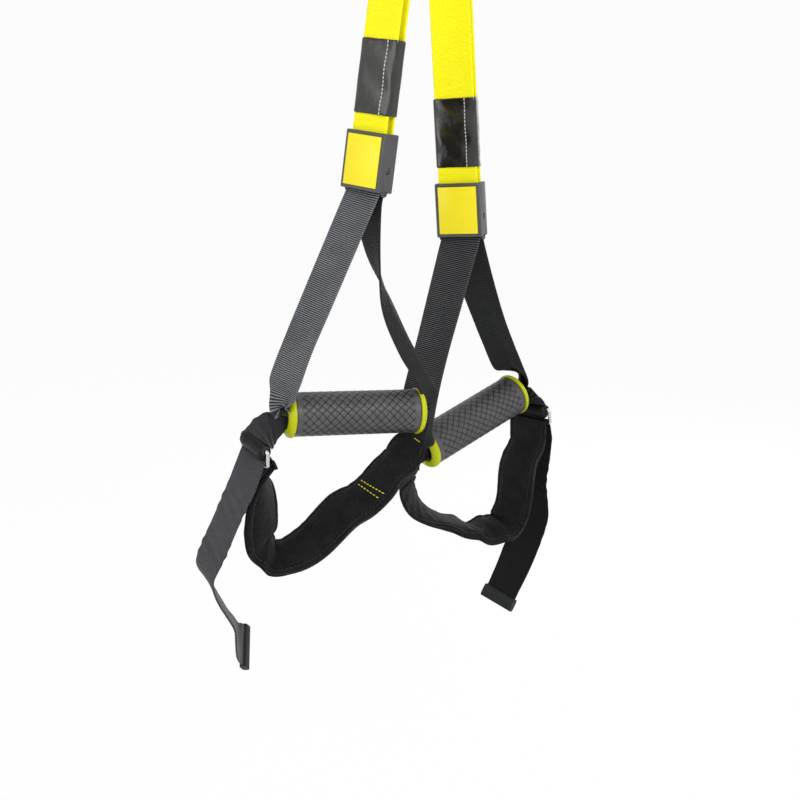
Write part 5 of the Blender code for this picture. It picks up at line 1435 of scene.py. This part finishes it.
    def caps(self, leg):
        """A plug in the tube, a flange and a dome: a quarter ellipse from the rim to the mouth's lip."""
        plug = GRIP_RADIUS - RUBBER_THICKNESS - TUBE_WALL - SEAT_GAP
        mouth = CORE_WIDTH / 2.0 + RUNNING_GAP
        rim = GRIP_RADIUS + CAP_LIP
        seat = GRIP_LENGTH / 2.0 + SEAT_GAP
        flange = seat + CAP_FLANGE
        lip = mouth + CAP_LIP
        bend = np.radians(np.linspace(0.0, 90.0, ARC_STEPS))
        dome = np.stack([lip + (rim - lip) * np.cos(bend), flange + CAP_SHOWN_DOME * np.sin(bend)], -1)
        profile = np.vstack([[(mouth, seat - CAP_PLUG_LENGTH), (plug, seat - CAP_PLUG_LENGTH), (plug, seat),
                              (rim - CAP_CHAMFER, seat), (rim, seat + CAP_CHAMFER)], dome,
                             [(mouth, flange + CAP_SHOWN_DOME - CAP_LIP)]])
        mirrored = Place(leg.grip.origin, -leg.grip.axes[0], -leg.grip.axes[1], leg.grip.axes[2])
        for word, place in (("_near_cap", mirrored), ("_far_cap", leg.grip)):
            leg.put(word + "_domed", [turned(profile, place)], "cap_lime", "_grip", "cap_lime", word)


def fold_push(along, folds):
    """How far a round bend is pushed out to two straight sides: radius x (1 / cos(angle off them) - 1)."""
    half = math.radians(PAD_FOLD_ANGLE / 2.0)
    angle = [np.clip(half - np.abs(along - place) / PAD_FOLD_RADIUS, 0.0, None) for place in folds]
    return sum(PAD_FOLD_RADIUS * (1.0 / np.cos(turn) - 1.0) for turn in angle)


def pad_outline():
    """Stuffed section: a crown between two seams, and a rolled bead along each edge."""
    edge = np.linspace(PAD_EDGE_SHARE, 1.0, PAD_EDGE_COLUMNS)
    share = np.concatenate([-edge[::-1], np.linspace(-PAD_FLAT_SHARE, PAD_FLAT_SHARE, PAD_COLUMNS), edge])
    half = PAD_THICKNESS / 2.0
    seam = PAD_SEAM_SHARE
    inside = np.clip(np.abs(share) / seam, 0.0, 1.0)
    crown = PAD_SEAM_HEIGHT + (half - PAD_SEAM_HEIGHT) * (1.0 - inside ** 4) ** PAD_CROWN_POWER
    middle = (1.0 + seam) / 2.0
    bead = np.clip((np.abs(share) - middle) / (1.0 - middle), -1.0, 1.0)
    rolled = PAD_BEAD_HEIGHT * np.sqrt(np.clip(1.0 - bead ** 2, 0.0, 1.0))
    rolled = rolled + PAD_SEAM_HEIGHT * PAD_BEAD_LIFT_SHARE
    stuffed = np.abs(share) < seam
    top = np.where(stuffed, crown, rolled)
    under = np.where(stuffed, -half * (1.0 - PAD_UNDER_CURL * inside ** 6), -rolled * PAD_BEAD_UNDER_SHARE)
    top[[0, -1]] = under[[0, -1]] = 0.0
    return share, top, under


CLOTH_SETTINGS = {
    "quality": 4,
    "mass": 0.25,
    "tension_stiffness": 12.0,
    "compression_stiffness": 12.0,
    "bending_stiffness": 0.2,
    "use_pressure": True,
    "uniform_pressure_force": 4.0,
}


def places_of(mesh):
    flat = np.empty(len(mesh.vertices) * 3, np.float32)
    mesh.vertices.foreach_get("co", flat)
    return flat.reshape(-1, 3)


def puffed(piece):
    """Stuff the pad: a short cloth run under pressure, each point's move capped. Returns the moves."""
    rest = places_of(piece.data)
    cloth = piece.modifiers.new("Stuffing", "CLOTH")
    for key, value in CLOTH_SETTINGS.items():
        setattr(cloth.settings, key, value)
    cloth.settings.effector_weights.gravity = 0.0
    cloth.point_cache.frame_start = 1
    cloth.point_cache.frame_end = CLOTH_FRAMES
    scene = bpy.context.scene
    for number in range(1, CLOTH_FRAMES + 1):
        scene.frame_set(number)
    step = places_of(piece.evaluated_get(bpy.context.evaluated_depsgraph_get()).data) - rest
    piece.modifiers.remove(cloth)
    scene.frame_set(1)
    size = np.linalg.norm(step, axis=1, keepdims=True)
    step = step * np.minimum(1.0, sizes().pad_swell / np.maximum(size, 1e-9))
    piece.data.vertices.foreach_set("co", (rest + step).ravel())
    piece.data.update()
    return step


class TRAINER_OT_cradles(bpy.types.Operator):
    """Make the padded foot cradles with their backing, stubs, tails and stops"""

    bl_idname = "trainer.cradles"
    bl_label = "Foot Cradles"

    def execute(self, context):
        for leg in map(Leg, SIDES):
            fine = self.pad(leg)
            self.backing(leg, fine)
            self.stub(leg)
            self.roll(leg)
            self.tail(leg)
        return {"FINISHED"}

    def route(self, leg, shares, width):
        table = np.array(shares)
        return rows_of(leg.grip.at(table[:, :3] * cradle_scale()), leg.grip.turn(unit(table[:, 3:6])),
                       width * table[:, 6])

    def pad(self, leg):
        """The padded band from the slider to the grip's far end, its seams and marks. Returns its route."""
        end = leg.end
        bar, _, slider_up = leg.slider.axes
        clearance = SLIDER_WIRE + SEAT_GAP + TAIL_THICKNESS + SEAT_GAP
        hung = leg.lower_bar + leg.inward * (clearance + BACKING_THICKNESS + SEAT_GAP + PAD_THICKNESS / 2.0)
        pad_row = rows_of(hung - slider_up * PAD_TOP_DROP, bar, PAD_WIDTH)
        lip_row = rows_of(hung + slider_up * PAD_LIP_RISE, bar, PAD_WIDTH)
        rows = self.route(leg, CRADLE_ROUTE_SHARES[leg.name], PAD_WIDTH)
        trim = PAD_MOUTH_ROWS
        if end < 0.0:
            fine = curved(np.vstack([rows, pad_row]))
            padded = np.vstack([fine[trim:], lip_row])
            lead = lengths(fine[: trim + 1, :3])[-1]
        else:
            fine = curved(np.vstack([pad_row, rows]))
            padded = np.vstack([lip_row, fine[:-trim]])
            lead = -np.linalg.norm(lip_row[0, :3] - fine[0, :3])
        bare = Band(padded, PAD_THICKNESS, spacing=PAD_SPACING)
        bend = np.linalg.norm(np.gradient(unit(bare.run), bare.along, axis=0), axis=1)
        marks, tight = bare.along, np.clip(bend / PAD_TIGHT_BEND, 0.0, 1.0)
        total = marks[-1]
        folds = [place - lead for place in PAD_FOLDS[leg.name]]

        def taper(along):
            """Full over the foot, thin where the cloth runs out to the grip and under the slider."""
            from_grip = along if end < 0.0 else total - along
            run_out = PAD_END_SHARE + (1.0 - PAD_END_SHARE) * from_grip / PAD_RUN_OUT[leg.name]
            lip = PAD_LIP_SHARE + (1.0 - PAD_LIP_SHARE) * (total - from_grip) / PAD_LIP_RUN
            return np.clip(run_out, 0.0, 1.0) * np.clip(lip, 0.0, 1.0)

        def creases(share, along, width):
            """Ripples where the band bends, straight sides up to each fold, thin ends laid on the backing."""
            amount = np.interp(along, marks, tight) * PAD_CREASE_HEIGHT
            ripple = amount * np.sin(2.0 * math.pi * along / PAD_CREASE_SPACING + PAD_CREASE_LEAN * share)
            return ripple - fold_push(along, folds) - (1.0 - taper(along)) * PAD_THICKNESS / 2.0

        band = Band(padded, PAD_THICKNESS, spacing=PAD_SPACING, relief=creases, outline=pad_outline(),
                    taper=taper)
        piece = leg.put("_pad", [band.shell()], "pad_black", None, "pad_black")
        face = len(band.outline[0])
        band.swell = puffed(piece).reshape(len(band.along), -1, 3)[:, :face]
        soften = piece.modifiers.new("Soften", "SUBSURF")
        soften.levels = soften.render_levels = 1
        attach(piece, leg.name + "_cradle")
        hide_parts(leg.name + "_cradle_pad")
        seams = [sewn(band, [(share, PAD_SEAM_MARGIN), (share, total - PAD_SEAM_MARGIN)], proud=0.5)
                 for share in (-PAD_SEAM_SHARE, PAD_SEAM_SHARE)]
        leg.put("_pad_seams", seams, "thread_dark", "_cradle", "pad_black")
        sewn_marks = [sewn(band, [(share, place - lead) for share, place in line], proud=0.8,
                           thread_share=PAD_MARK_THREAD_SHARE) for line in PAD_MARKS[leg.name]]
        if sewn_marks:
            leg.put("_pad_marks", sewn_marks, "thread_yellow", "_cradle", "webbing_yellow")
        return fine

    def backing(self, leg, fine):
        """The strap under the pad, from the slider's lower bar into the grip's far mouth."""
        end = leg.end
        above = Band(fine, PAD_THICKNESS)
        beneath = PAD_THICKNESS / 2.0 + BACKING_GAP + BACKING_THICKNESS / 2.0
        beneath = beneath + fold_push(above.along, PAD_FOLDS[leg.name])[:, None]
        under = rows_of(above.place - above.normal * beneath, above.side, above.width * BACKING_WIDTH_SHARE)
        far = np.vstack([rows_of(leg.tucked(-end, lead), leg.grip.axes[2], TUCK_WIDTH)
                         for lead in (-TUCK_DEPTH, 0.0, TUCK_LEAD)])
        depth = SLIDER_WIRE + SEAT_GAP + TAIL_THICKNESS + SEAT_GAP + BACKING_THICKNESS / 2.0
        bar_row = rows_of(leg.lower_bar + leg.inward * depth, leg.slider.axes[0],
                          PAD_WIDTH * BACKING_WIDTH_SHARE)
        rows = np.vstack([far, under, bar_row] if end < 0.0 else [bar_row, under, far[::-1]])
        leg.put("_backing", [Band(rows, BACKING_THICKNESS, skewed=True).shell()], "webbing_black", "_cradle",
                "webbing_black", "_cradle_strap")

    def stub(self, leg):
        """The strap from the grip's near mouth up over the slider's upper bar, with its sewn ridges."""
        bar, _, slider_up = leg.slider.axes
        grip_up = leg.grip.axes[2]
        start_across = grip_up * leg.end
        wrap = SLIDER_WIRE + SEAT_GAP + STUB_THICKNESS / 2.0
        over = arc(leg.upper_bar, leg.inward, slider_up, wrap, *SLIDER_WRAP_ANGLES["stub"])
        wide = STUB_MOUTH_WIDTH[leg.name]
        mouth = cap_end() + SEAT_GAP
        near = leg.grip.at((leg.end * (mouth + TUCK_LEAD), 0.0, -STUB_MOUTH_DROP[leg.name]))
        share = STUB_SHARES[:, None]
        middle = near + (over[0] - near) * share + grip_up * (STUB_RISE * 4.0 * share * (1.0 - share))
        keys = [rows_of(near, start_across, wide),
                rows_of(middle, unit(start_across * (1.0 - share) + bar * share),
                        wide + (WEBBING_WIDTH - wide) * share ** 0.5),
                rows_of(over[:1], bar, WEBBING_WIDTH)]
        rows = np.vstack([rows_of(leg.tucked(leg.end, -TUCK_DEPTH), start_across, TUCK_WIDTH),
                          curved(np.vstack(keys)), rows_of(over[1:], bar, WEBBING_WIDTH)])
        flat = Band(rows, STUB_THICKNESS, skewed=True)
        start = flat.along[np.argmin(np.linalg.norm(flat.place - over[0], axis=1))]

        def ridges(share, along, width):
            """Three sewn ridges across the stub, one every spacing before the slider."""
            back = (start - along) / RIDGE_SPACING
            inside = np.clip(back, 0.0, 1.0) * np.clip(len(RIDGE_SEAMS) + 0.5 - back, 0.0, 1.0)
            return RIDGE_HEIGHT * inside * np.cos(2.0 * math.pi * back) + 0.0 * share

        band = Band(rows, STUB_THICKNESS, skewed=True, relief=ridges)
        leg.put("_stub", [band.shell()], leg.side["stub_finish"], "_cradle", "webbing_black", "_cradle_stub")
        outer = -1.0 if band.normal[len(band.normal) // 2] @ leg.inward > 0.0 else 1.0
        reach = (-RIDGE_SEAM_SHARE, RIDGE_SEAM_SHARE)
        seams = [sewn(band, [(side, start - back * RIDGE_SPACING) for side in reach], outer,
                      stitch_share=RIDGE_STITCH_SHARE, gap_share=RIDGE_GAP_SHARE) for back in RIDGE_SEAMS]
        leg.put("_stub_stitches", seams, "thread_dark", "_cradle", "webbing_black")

    def roll(self, leg):
        """The bound end rolled over the slider: depth x cos, rise + height x sin, both shrunk near the
        ends by sqrt(1 - |step|^p) and wavering along the bar."""
        angle = np.linspace(0.0, 2.0 * math.pi, ROLL_COLUMNS + 1)
        steps = np.sin(np.linspace(-math.pi / 2.0, math.pi / 2.0, ROLL_ROWS))
        grown = np.sqrt(np.clip(1.0 - np.abs(steps) ** ROLL_END_POWER, ROLL_END_SHARE, 1.0))[:, None]
        wave = 1.0 + ROLL_WAVE_SHARE * np.sin(steps * ROLL_WAVES)[:, None]
        y = ROLL_DEPTH * grown * wave * np.cos(angle[:-1])
        z = ROLL_RISE + ROLL_HEIGHT * grown * wave * np.sin(angle[:-1])
        x = np.broadcast_to((steps * (WEBBING_WIDTH / 2.0 - SEAT_GAP))[:, None], y.shape)
        shell = tube(leg.slider.at(np.stack([x, y, z], -1)), angle * ROLL_HEIGHT,
                     (steps + 1.0) * WEBBING_WIDTH / 2.0)
        leg.put("_slider_roll", [shell], "binding", "_cradle", "webbing_black")

    def tail(self, leg):
        """The free end: round the slider's lower bar, then hanging as in the photo, to its stop."""
        bar, _, slider_up = leg.slider.axes
        wrap = SLIDER_WIRE + SEAT_GAP + TAIL_THICKNESS / 2.0
        over = arc(leg.lower_bar, leg.inward, slider_up, wrap, *SLIDER_WRAP_ANGLES["tail"])
        rows = curved(self.route(leg, TAIL_ROUTE_SHARES[leg.name], WEBBING_WIDTH))
        run = unit(rows[-1, :3] - rows[-2, :3])
        across = unit(rows[-1, 3:6] - run * (rows[-1, 3:6] @ run))
        width = rows[-1, 6]
        last = rows[-1, :3] + run * TAIL_LEAD
        rows = np.vstack([rows_of(over, bar, WEBBING_WIDTH), rows,
                          rows_of(last + run * (STOP_LENGTH * 0.5), across, width)])

        def wrinkles(share, along, width):
            """Leaning creases: a few ripples under each of two or three bell-shaped swells along the tail."""
            swell = sum(np.exp(-((along - place) / TAIL_CREASE_REACH) ** 2)
                        for place in TAIL_CREASES[leg.name])
            ripple = np.sin(2.0 * math.pi * (along - TAIL_CREASE_LEAN * share) / TAIL_CREASE_SPACING)
            return TAIL_CREASE_HEIGHT * swell * ripple

        band = Band(rows, TAIL_THICKNESS, skewed=True, relief=wrinkles)
        leg.put("_tail", [band.shell()], leg.side["tail_finish"], "_cradle", leg.side["tail_slot"],
                "_tail_webbing")
        self.stop(leg, Place(last, across, np.cross(run, across), run), width / 2.0 + STOP_OVERHANG)

    def stop(self, leg, place, half):
        """The folded end: a super-ellipse |cos|^p, |sin|^q carried across the strip, smaller at its ends."""
        size = sizes()
        angle = np.linspace(0.0, 2.0 * math.pi, STOP_COLUMNS)
        cos, sin = np.cos(angle), np.sin(angle)
        radius = STOP_THICKNESS / 2.0
        y = radius * np.sign(cos) * np.abs(cos) ** STOP_DEPTH_POWER
        z = (STOP_LENGTH / 2.0) * (1.0 + np.sign(sin) * np.abs(sin) ** STOP_HEIGHT_POWER)
        ring = np.stack([0.0 * y, y, z], -1)[:-1]
        steps = np.concatenate([[-1.0], np.linspace(-STOP_FLAT_SHARE, STOP_FLAT_SHARE, STOP_STEPS), [1.0]])
        grown = np.ones(len(steps))
        grown[[0, -1]] = STOP_END_SHARE
        centre = np.array((0.0, 0.0, STOP_LENGTH / 2.0))
        points = centre + (ring[None] - centre) * grown[:, None, None] + (steps * half)[:, None, None] * X
        leg.put("_stop", [tube(place.at(points), angle * radius, steps * half)], "webbing_black", "_cradle",
                "webbing_black", "_tail_stop")
        count = int(2.0 * half / (size.stitch + size.stitch_gap)) - 1
        spots = np.linspace(STOP_SEAM_MARGIN - half, half - STOP_SEAM_MARGIN, count)
        across, back, _ = place.axes
        shells = []
        for face in (-1.0, 1.0):
            depth = np.full(count, face * radius * STOP_SEAM_DEPTH_SHARE)
            for share in STOP_SEAM_SHARES:
                centres = place.at(np.stack([spots, depth, np.full(count, share * STOP_LENGTH)], -1))
                shells.append(threads(centres, np.tile(across, (count, 1)), np.tile(back * face, (count, 1)),
                                      size.stitch, size.thread_radius))
        leg.put("_stop_stitches", shells, "thread_dark", "_cradle", "webbing_black")


class TRAINER_OT_stage(bpy.types.Operator):
    """Set the pale floor, backdrop, soft lamps and the camera"""

    bl_idname = "trainer.stage"
    bl_label = "Stage"

    def execute(self, context):
        self.floor()
        self.lamps()
        camera = bpy.data.cameras.new("camera")
        camera.lens = CAMERA_LENS
        camera.sensor_width = CAMERA_SENSOR
        camera.clip_start = 0.01
        camera.clip_end = 60.0
        holder = linked("camera", camera)
        holder.location = CAMERA_PLACE
        holder.rotation_euler = (math.pi / 2.0 - math.radians(CAMERA_TILT), 0.0, 0.0)
        bpy.context.scene.camera = holder
        bpy.context.scene.view_settings.view_transform = "Standard"
        return {"FINISHED"}

    def floor(self):
        """A dish: flat floor that curves up far behind; seen white, it still takes the shadow."""
        reach = np.linspace(0.0, FLOOR_REACH, FLOOR_ROWS)
        angle = np.linspace(0.0, 2.0 * math.pi, FLOOR_COLUMNS + 1)
        rise = FLOOR_HEIGHT + np.clip(reach - FLOOR_FLAT, 0.0, None) ** 2 * FLOOR_CURL
        points = np.stack([reach[:, None] * np.cos(angle[:-1]), reach[:, None] * np.sin(angle[:-1]),
                           rise[:, None] + 0.0 * angle[:-1]], -1)
        points[0, :, :2] = points[1, :, :2] * 0.001
        flat, groups = grid(points, angle, reach, ring=True)
        mesh = bpy.data.meshes.new("floor")
        mesh.from_pydata(flat, [], groups[0][0].tolist() + [list(range(FLOOR_COLUMNS))])
        mesh.shade_smooth()
        floor = linked("floor", mesh)
        paper = Finish("paper", {"Roughness": 0.9})
        start = paper.start
        seen = start.rays("Is Camera Ray", "Is Glossy Ray", "Is Transmission Ray")
        drift = paper.noise(3.0, 2.0).blend(tone(rgb(240, 240, 240)), tone(rgb(246, 246, 246)))
        paper.feed(base_color=drift)
        glow = start.node("ShaderNodeEmission", {"Color": (1.0, 1.0, 1.0, 1.0), "Strength": 1.0})
        mixed = start.node("ShaderNodeMixShader", {0: seen * FLOOR_GLOW, 1: start, 2: glow})
        output = next(node for node in paper.tree.nodes if node.type == "OUTPUT_MATERIAL")
        paper.tree.links.new(mixed.socket, output.inputs["Surface"])
        mesh.materials.append(paper.material)

    def lamps(self):
        """Four wide soft lamps and a pale sky that is seen white."""
        world = bpy.data.worlds.new("sky")
        world.use_nodes = True
        bpy.context.scene.world = world
        tree = world.node_tree
        background = tree.nodes["Background"]
        sky = Value(tree, background.outputs[0])
        strength = sky.rays("Is Camera Ray", "Is Transmission Ray") * (1.0 - SKY_LIGHT) + SKY_LIGHT
        tree.links.new(strength.socket, background.inputs["Strength"])
        background.inputs["Color"].default_value = (1.0, 1.0, 1.0, 1.0)
        for name, place, width, power in LAMPS:
            lamp = bpy.data.lights.new(name, "AREA")
            lamp.shape = "DISK"
            lamp.size = width
            lamp.energy = power
            holder = linked(name, lamp)
            holder.location = place
            holder.rotation_euler = (Vector(LAMP_AIM) - Vector(place)).to_track_quat("-Z", "Y").to_euler()


class TRAINER_PT_panel(bpy.types.Panel):
    """Buttons and settings of the trainer"""

    bl_idname = "TRAINER_PT_panel"
    bl_label = "Suspension Trainer"
    bl_space_type = "VIEW_3D"
    bl_region_type = "UI"
    bl_category = "Trainer"

    def draw(self, context):
        column = self.layout.column(align=True)
        for operator in OPERATORS:
            column.operator(operator.bl_idname)
        for group in (context.scene.trainer_sizes, context.scene.trainer_colours):
            box = self.layout.box()
            for key in group.__annotations__:
                box.prop(group, key)


OPERATORS = (
    TRAINER_OT_finishes,
    TRAINER_OT_metalwork,
    TRAINER_OT_keepers,
    TRAINER_OT_straps,
    TRAINER_OT_handles,
    TRAINER_OT_cradles,
    TRAINER_OT_stage,
)
CLASSES = (TrainerColours, TrainerSizes) + OPERATORS + (TRAINER_PT_panel,)


def register():
    for entry in CLASSES:
        bpy.utils.register_class(entry)
    bpy.types.Scene.trainer_colours = bpy.props.PointerProperty(type=TrainerColours)
    bpy.types.Scene.trainer_sizes = bpy.props.PointerProperty(type=TrainerSizes)


def unregister():
    del bpy.types.Scene.trainer_sizes
    del bpy.types.Scene.trainer_colours
    for entry in reversed(CLASSES):
        bpy.utils.unregister_class(entry)


def main():
    register()
    bpy.ops.trainer.finishes()
    bpy.ops.trainer.metalwork()
    bpy.ops.trainer.keepers()
    bpy.ops.trainer.straps()
    bpy.ops.trainer.handles()
    bpy.ops.trainer.cradles()
    bpy.ops.trainer.stage()


if __name__ == "__main__":
    main()
